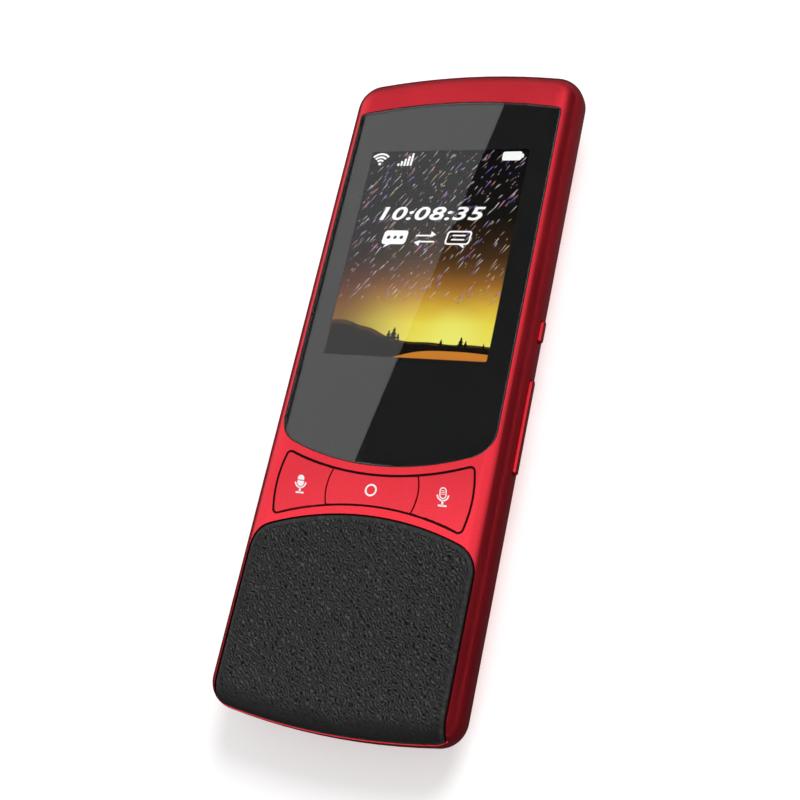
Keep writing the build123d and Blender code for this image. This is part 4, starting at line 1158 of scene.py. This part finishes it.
def leatherRelief(x, level, above):
    # how far the leather stands off the plain surface, and the painted light there: painted shade in the
    # hollows, a painted highlight on the crowns and along the edge
    inset = padTop.inset(x, padForm["top"] - level)
    edge = min(inset, above)
    relief = 0.0
    if edge < padForm["edgeRoll"]:
        turn = 1 - max(edge, 0.0) / padForm["edgeRoll"]
        relief -= padForm["edgeDrop" if inset < above else "footDrop"] * (1 - math.sqrt(1 - turn ** 2))
    wavering = pebble["wavering"] * softNoise(x, level, pebble["waveringScale"], 0.8)
    fromFoot = smooth(above + wavering, pebble["endBare"], pebble["endBare"] + pebble["endFade"])
    sideways = padForm["side"] - abs(x) + wavering * pebble["sideWavering"]
    fromSide = smooth(sideways, pebble["sideBare"], pebble["sideFade"])
    strength = smooth(edge, pebble["edgeBare"], pebble["edgeFade"])
    strength *= pebble["endKeep"] + (1 - pebble["endKeep"]) * fromFoot
    strength *= pebble["sideKeep"] + (1 - pebble["sideKeep"]) * fromSide
    crown = pebbleAt(x, level)
    relief += strength * (pebble["lift"] - pebble["depth"] * (1 - crown))
    # a painted highlight in a band just inside the pad's edge, broken into patches
    highlightStart, highlightFull, highlightLess, highlightEnd = pebble["rubbedAndPaintedSheen"]
    edgeHighlight = smooth(edge, highlightStart, highlightFull) * (1 - smooth(edge, highlightLess, highlightEnd)) * pebble["edgeHighlightTone"]
    usual, varying, scale = pebble["edgeHighlightPatches"]
    edgeHighlight *= usual + varying * softNoise(x, level, scale, 23.0)
    plain = pebble["plainTone"]
    return relief, max(plain + strength * (crown - plain), edgeHighlight)


def spread(low, high, count):
    # even steps between two denser bands, which end in ever smaller steps
    bandWidth, bandSteps = padForm["edgeBand"], padForm["edgeSteps"]
    steps = count - 2 * bandSteps
    inner = [low + bandWidth + (high - low - 2 * bandWidth) * i / steps for i in range(steps + 1)]
    dense = [bandWidth * (1 - math.cos(math.pi / 2 * i / bandSteps)) for i in range(bandSteps)]
    return [low + d for d in dense] + inner + [high - d for d in reversed(dense)]


def ringOf(columns, rows):
    # grid indices once round, starting at the lower left
    loop = [(i, 0) for i in range(columns)] + [(columns, j) for j in range(rows)]
    return loop + [(i, rows) for i in range(columns, 0, -1)] + [(0, j) for j in range(rows, 0, -1)]


def makeLeatherPad():
    columns, rows, step = padForm["columns"], padForm["rows"], padForm["innerStep"]
    side, skirt, flap = padForm["side"], padForm["skirt"], padForm["flap"]
    seat, lowest, apart = padForm["seat"], padForm["foot"], padForm["apart"]
    corners, paintedLightTones, faces = [], [], []
    grid, plain = {}, {}
    for i, x in enumerate(spread(-side, side, columns)):
        top = padForm["top"] - padTop.depth(x)
        line, lengths = downThePad(x, top, 0.0, False)
        wanted = spread(0.0, lengths[-1], rows)
        for j, ((y, z), above) in enumerate(zip(alongLine(line, lengths, wanted), wanted)):
            relief, crown = leatherRelief(x, top - lengths[-1] + above, above)
            grid[i, j] = len(corners)
            plain[i, j] = (x, y, z)
            corners.append(tuple(Vector((x, y, z)) + surfaceNormal(x, y) * relief))
            paintedLightTones.append(crown)
    for i in range(columns):
        for j in range(rows):
            faces.append((grid[i, j], grid[i + 1, j], grid[i + 1, j + 1], grid[i, j + 1]))
    ring = ringOf(columns, rows)
    outer = [grid[place] for place in ring]
    count = len(outer)

    # the edge goes down to the seat, or through the flap, and meets the hollow underside
    foldLine = seat + flap * padForm["foldShare"]

    def footOf(place):
        x, y, z = plain[place]
        if caseEnd.inset(x, y - caseForm["bottom"]) < flap:
            y = caseForm["bottom"] + caseEnd.depth(x, flap)
        share = min(max((z - lowest) / (foldLine - lowest), 0.0), 1.0)
        return x, y, lowest + apart + (seat - lowest - apart) * share

    def innerX(i):
        return (side - skirt) * (2 * i / columns - 1)

    def innerColumn(x):
        top = padForm["top"] - skirt - padTop.depth(x * side / (side - skirt))
        line, lengths = downThePad(x, top, flap, True)
        return alongLine(line, lengths, [lengths[-1] * j / rows for j in range(rows + 1)])

    inner = [innerColumn(innerX(i)) for i in range(columns + 1)]
    foot, sole = len(corners), len(corners) + count
    corners += [footOf(place) for place in ring]
    for i, j in ring:
        y, z = inner[i][j]
        corners.append((innerX(i), y, min(z, seat)))
    hollow = {}
    for i in range(0, columns + 1, step):
        for j in range(0, rows + 1, step):
            y, z = inner[i][j]
            hollow[i, j] = len(corners)
            corners.append((innerX(i), y + apart / 2, z + apart / 2))
    paintedLightTones += [pebble["plainTone"]] * (len(corners) - len(paintedLightTones))
    for k in range(count):
        after = (k + 1) % count
        faces.append((outer[after], outer[k], foot + k, foot + after))
        faces.append((foot + after, foot + k, sole + k, sole + after))
    for i in range(0, columns, step):
        for j in range(0, rows, step):
            faces.append((hollow[i, j], hollow[i, j + step], hollow[i + step, j + step], hollow[i + step, j]))
    for k in range(0, count, step):
        after = (k + step) % count
        fine = [sole + (k + n) % count for n in range(step + 1)]
        faces.append(tuple([hollow[ring[after]]] + fine[::-1] + [hollow[ring[k]]]))
    mesh = meshFrom("leatherPad", inMetres(corners), faces, crest=paintedLightTones)
    pad = newPiece("leatherPad", mesh, "housing", finishes["leather"], smooth=True)
    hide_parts("leather_pad")


makeLeatherPad()
print("leather pad made")


# Speaker cloth: a perforated steel sheet behind the slots

speakerSheet = {
    "Width": 19.7 * mm, "Length": 11.0 * mm, "Corner": 1.5 * mm, "Centre Y": -49.5 * mm,
    "Level": 1.12 * mm, "Thickness": 0.11 * mm,
    "Pitch": 0.62 * mm, "Hole": 0.19 * mm, "Columns": 30, "Rows": 9,
}


def perforatedSheet(tree, into):
    # two lattices of holes, the second half a step on, inside a rounded outline
    size = {"Width": into["Width"], "Height": into["Length"]}
    outline = addNode(tree, "GeometryNodeCurvePrimitiveQuadrilateral", size)
    corners = {"Curve": outline.outputs[0], "Radius": into["Corner"], "Count": 5}
    rounded = addNode(tree, "GeometryNodeFilletCurve", corners, mode="POLY").outputs[0]
    hole = addNode(tree, "GeometryNodeCurvePrimitiveCircle", {"Resolution": 8, "Radius": into["Hole"]})
    rowPitch = calc(tree, "MULTIPLY", into["Pitch"], math.sqrt(3.0))
    holes = []
    for fewer in (0.0, 1.0):
        across = calc(tree, "SUBTRACT", into["Columns"], fewer)
        down = calc(tree, "SUBTRACT", into["Rows"], fewer)
        lattice = addNode(tree, "GeometryNodeMeshGrid", {
            "Size X": calc(tree, "MULTIPLY", into["Pitch"], calc(tree, "SUBTRACT", across, 1.0)),
            "Size Y": calc(tree, "MULTIPLY", rowPitch, calc(tree, "SUBTRACT", down, 1.0)),
            "Vertices X": across, "Vertices Y": down,
        })
        copies = copied(tree, lattice.outputs[0], hole.outputs[0])
        holes.append(addNode(tree, "GeometryNodeRealizeInstances", {"Geometry": copies}).outputs[0])
    outlines = joined(tree, *holes, rounded)
    sheet = addNode(tree, "GeometryNodeFillCurve", {"Curve": outlines}, mode="TRIANGLES").outputs[0]
    raised = addNode(tree, "GeometryNodeExtrudeMesh", {
        "Mesh": sheet, "Offset": joinXYZ(tree, z=into["Thickness"]), "Offset Scale": 1.0, "Individual": False,
    })
    back = addNode(tree, "GeometryNodeFlipFaces", {"Mesh": sheet})
    both = joined(tree, raised.outputs[0], back.outputs[0])
    closed = addNode(tree, "GeometryNodeMergeByDistance", {"Geometry": both, "Distance": 0.001 * mm})
    return moved(tree, closed.outputs[0], 0.0, into["Centre Y"], into["Level"])


speakerCloth = grow("speakerCloth", perforatedSheet, speakerSheet, finishes["steel"])
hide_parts("speaker_mesh")


# Charging socket: dark tongue with gilt contacts on both faces

socketTongue = {
    "width": 6.76, "thickness": 0.76, "mouth": 72.42, "back": 65.6, "level": 3.55,
    "bevel": 0.14, "bevelSteps": 3,
}
contactRow = {
    "Count": 12, "Pitch": 0.5 * mm, "Wide": 0.26 * mm, "Long": 3.4 * mm, "High": 0.03 * mm,
    "Centre Y": 70.4 * mm, "Level": 3.55 * mm, "Apart": 0.38 * mm,
}


def makeTongue():
    mouth, back = socketTongue["mouth"], socketTongue["back"]
    size = (socketTongue["width"], mouth - back, socketTongue["thickness"])
    form = bmesh.new()
    bmesh.ops.create_cube(form, size=1.0)
    bmesh.ops.scale(form, vec=size, verts=form.verts)
    bmesh.ops.translate(form, vec=(0.0, (back + mouth) / 2, socketTongue["level"]), verts=form.verts)
    front = [edge for edge in form.edges if all(v.co.y > mouth - 0.01 for v in edge.verts)]
    bmesh.ops.bevel(
        form, geom=front, offset=socketTongue["bevel"], segments=socketTongue["bevelSteps"],
        affect="EDGES", profile=0.5,
    )
    bmesh.ops.scale(form, vec=(mm, mm, mm), verts=form.verts)
    mesh = bpy.data.meshes.new("socketTongue")
    form.to_mesh(mesh)
    form.free()
    newPiece("socketTongue", mesh, "housing", finishes["plastic_black"])


def contactBars(tree, into):
    size = joinXYZ(tree, into["Wide"], into["Long"], into["High"])
    bar = addNode(tree, "GeometryNodeMeshCube", {"Size": size}).outputs[0]
    span = calc(tree, "MULTIPLY", into["Pitch"], calc(tree, "SUBTRACT", into["Count"], 1.0))
    start = calc(tree, "MULTIPLY", span, -0.5)
    step = joinXYZ(tree, into["Pitch"])
    row = addNode(tree, "GeometryNodeMeshLine", {"Count": into["Count"], "Offset": step}).outputs[0]
    bars = copied(tree, row, bar)
    heights = [calc(tree, "MULTIPLY_ADD", into["Apart"], way, into["Level"]) for way in (-1.0, 1.0)]
    return joined(tree, *[moved(tree, bars, start, into["Centre Y"], height) for height in heights])


makeTongue()
grow("socketContacts", contactBars, contactRow, extras["gilt"])
print("openings dressed")


# Floor, sky and sun

studio = {
    "floorReach": 30.0,
    "floorLevel": -0.004,
    "floorColour": 0.80,
    "floorGlow": 0.42,
    "skyOnSurfaces": 0.5,
    "sunStrength": 2.1,
    "sunFrom": (0.24, 0.69, 0.64),
    "sunSoftness": 28.0,
}
white = rgb(1.0, 1.0, 1.0)


def stageObject(name, mesh, material, seenInGlossOnly=True):
    mesh.materials.append(material)
    made = bpy.data.objects.new(name, mesh)
    scene.collection.objects.link(made)
    if seenInGlossOnly:
        made.visible_camera = False
        made.visible_diffuse = False
        made.visible_shadow = False


def bareMaterial(name):
    material = bpy.data.materials.new(name)
    material.use_nodes = True
    material.node_tree.nodes.clear()
    return material, material.node_tree


def seenDirectly(tree):
    # 1 for what the camera, a reflection or the glass shows, and 0 for light on surfaces
    path = addNode(tree, "ShaderNodeLightPath").outputs
    mirrored = calc(tree, "MAXIMUM", path["Is Camera Ray"], path["Is Glossy Ray"])
    return calc(tree, "MAXIMUM", mirrored, path["Is Transmission Ray"])


def makeFloor():
    # matt and faintly lit from above, and clear from below
    reach, level, tone = studio["floorReach"], studio["floorLevel"], studio["floorColour"]
    corners = [(x, y, level) for x, y in box(-reach, reach, -reach, reach)]
    material, tree = bareMaterial("paleFloor")
    matt = addNode(tree, "ShaderNodeBsdfDiffuse", {"Color": rgb(tone, tone, tone)}).outputs[0]
    strength = calc(tree, "MULTIPLY", seenDirectly(tree), studio["floorGlow"])
    glow = addNode(tree, "ShaderNodeEmission", {"Color": white, "Strength": strength}).outputs[0]
    both = addNode(tree, "ShaderNodeAddShader", {0: matt, 1: glow}).outputs[0]
    clear = addNode(tree, "ShaderNodeBsdfTransparent").outputs[0]
    below = addNode(tree, "ShaderNodeNewGeometry").outputs["Backfacing"]
    side = addNode(tree, "ShaderNodeMixShader", {"Fac": below, 1: both, 2: clear}).outputs[0]
    addNode(tree, "ShaderNodeOutputMaterial", {"Surface": side})
    stageObject("floor", meshFrom("floor", corners, [(0, 1, 2, 3)]), material, seenInGlossOnly=False)


def makeSky():
    # white where it is seen, and weaker as a light
    world = bpy.data.worlds.new("sky")
    world.use_nodes = True
    tree = world.node_tree
    level = studio["skyOnSurfaces"]
    strength = calc(tree, "MULTIPLY_ADD", seenDirectly(tree), 1.0 - level, level)
    feed(tree, tree.nodes["Background"], Color=white, Strength=strength)
    scene.world = world


def makeSun():
    lamp = bpy.data.lights.new("keyLight", "SUN")
    lamp.energy = studio["sunStrength"]
    lamp.angle = math.radians(studio["sunSoftness"])
    sun = bpy.data.objects.new("keyLight", lamp)
    scene.collection.objects.link(sun)
    sun.matrix_world = Vector(studio["sunFrom"]).to_track_quat("Z", "Y").to_matrix().to_4x4()
    sun.visible_glossy = False
    sun.visible_transmission = False


makeFloor()
makeSky()
makeSun()


# Cards that only reflections see

# two black cards over the glass leave its left part bright, two bright ones lift the lower half,
# and a dim one darkens what the top rim mirrors
glassCards = {
    "height": 310.2,
    "outlines": {
        "right": ((-123.7, 272.2), (-161.4, 72.8), (-90.4, 70.0), (-90.4, 273.7)),
        "left": ((-225.0, 72.0), (-202.5, 72.0), (-202.5, 273.0), (-225.0, 273.0)),
        "fillLeft": ((-240.0, -110.0), (-150.0, -110.0), (-150.0, 58.0), (-240.0, 44.0)),
        "fillRight": ((-150.0, -110.0), (-30.0, -110.0), (-30.0, 66.0), (-110.0, 66.0), (-150.0, 58.0)),
        "rim": ((-235.0, 276.0), (60.0, 276.0), (60.0, 400.0), (-235.0, 400.0)),
    },
    "tones": {"right": 0.0, "left": 0.0, "fillLeft": 1.2, "fillRight": 1.6, "rim": 0.25},
}
# where each wall starts and ends as bearings in degrees, and how its tone rises with the elevation
surround = {
    "radius": 0.5, "top": 0.86, "tone": 0.10, "across": 72, "up": 24,
    "right": (-125, -85, 40, 70), "far": (40, 65, 120, 150),
    "rightRise": 36, "rightRaised": 12, "raisedUntil": (8, 38), "rightSoftness": 11,
    "farTone": 0.18, "farRise": (2, 50),
}
# a grid under it all with a hole below the case, darkest on the left
underCard = {
    "reach": 0.26, "cells": 64, "lift": 0.0002, "hole": (0.025, 0.066), "tones": (0.03, 0.06, 0.10),
    "toRight": (0.0, 0.05), "toFar": (-0.09, 0.09),
}


def shadedCard(name, tone=None):
    # a matt card that shines evenly, or as its own "tone" attribute says
    material, tree = bareMaterial(name)
    strength = attributeOf(tree, "tone") if tone is None else tone
    light = addNode(tree, "ShaderNodeEmission", {"Color": white, "Strength": strength}).outputs[0]
    addNode(tree, "ShaderNodeOutputMaterial", {"Surface": light})
    return material


def makeGlassCards():
    for name, outline in glassCards["outlines"].items():
        corners = inMetres([(x, y, glassCards["height"]) for x, y in outline])
        mesh = meshFrom(name + "Card", corners, [tuple(range(len(corners)))])
        stageObject(name + "Card", mesh, shadedCard(name + "Tone", glassCards["tones"][name]))


def wallTone(bearing, elevation):
    tone, farLow = surround["tone"], surround["farTone"]
    rightStart, rightFull, rightLess, rightEnd = surround["right"]
    farStart, farFull, farLess, farEnd = surround["far"]
    right = smooth(bearing, rightStart, rightFull) * (1 - smooth(bearing, rightLess, rightEnd))
    far = smooth(bearing, farStart, farFull) * (1 - smooth(bearing, farLess, farEnd))
    rise = surround["rightRise"] + surround["rightRaised"] * (1 - smooth(bearing, *surround["raisedUntil"]))
    rightTone = tone + (1 - tone) * smooth(elevation, rise, rise + surround["rightSoftness"])
    farTone = farLow + (1 - farLow) * smooth(elevation, *surround["farRise"])
    return max(1 - right * (1 - rightTone) - far * (1 - farTone), tone)


def makeSurround():
    # low dark walls to the right and beyond the top
    radius, top, across, up = surround["radius"], surround["top"], surround["across"], surround["up"]
    corners, faces, tones = [], [], []
    for i in range(across):
        angle = 360 * i / across
        turn = math.radians(angle)
        for j in range(up + 1):
            height = top * j / up
            corners.append((radius * math.cos(turn), radius * math.sin(turn), height))
            tones.append(wallTone((angle + 180) % 360 - 180, math.degrees(math.atan2(height, radius))))
        for j in range(up):
            a, b = i * (up + 1) + j, ((i + 1) % across) * (up + 1) + j
            faces.append((a, b, b + 1, a + 1))
    stageObject("surround", meshFrom("surround", corners, faces, tone=tones), shadedCard("surroundCard"))


def underCase(low, high):
    halfWide, halfLong = underCard["hole"]
    return min(low[0], -high[0]) > -halfWide and min(low[1], -high[1]) > -halfLong


def makeUnderCard():
    reach, cells = underCard["reach"], underCard["cells"]
    level = studio["floorLevel"] + underCard["lift"]
    line = [reach * (2 * i / cells - 1) for i in range(cells + 1)]
    spots = [(x, y, level) for x in line for y in line]
    faces = []
    for i in range(cells):
        for j in range(cells):
            k = i * (cells + 1) + j
            if not underCase(spots[k], spots[k + cells + 2]):
                faces.append((k, k + cells + 1, k + cells + 2, k + 1))
    least, right, far = underCard["tones"]
    tones = [
        least + smooth(x, *underCard["toRight"]) * (right + far * smooth(y, *underCard["toFar"]))
        for x, y, z in spots
    ]
    stageObject("underCard", meshFrom("underCard", spots, faces, tone=tones), shadedCard("greyCard"))


makeGlassCards()
makeSurround()
makeUnderCard()
print("stage set")
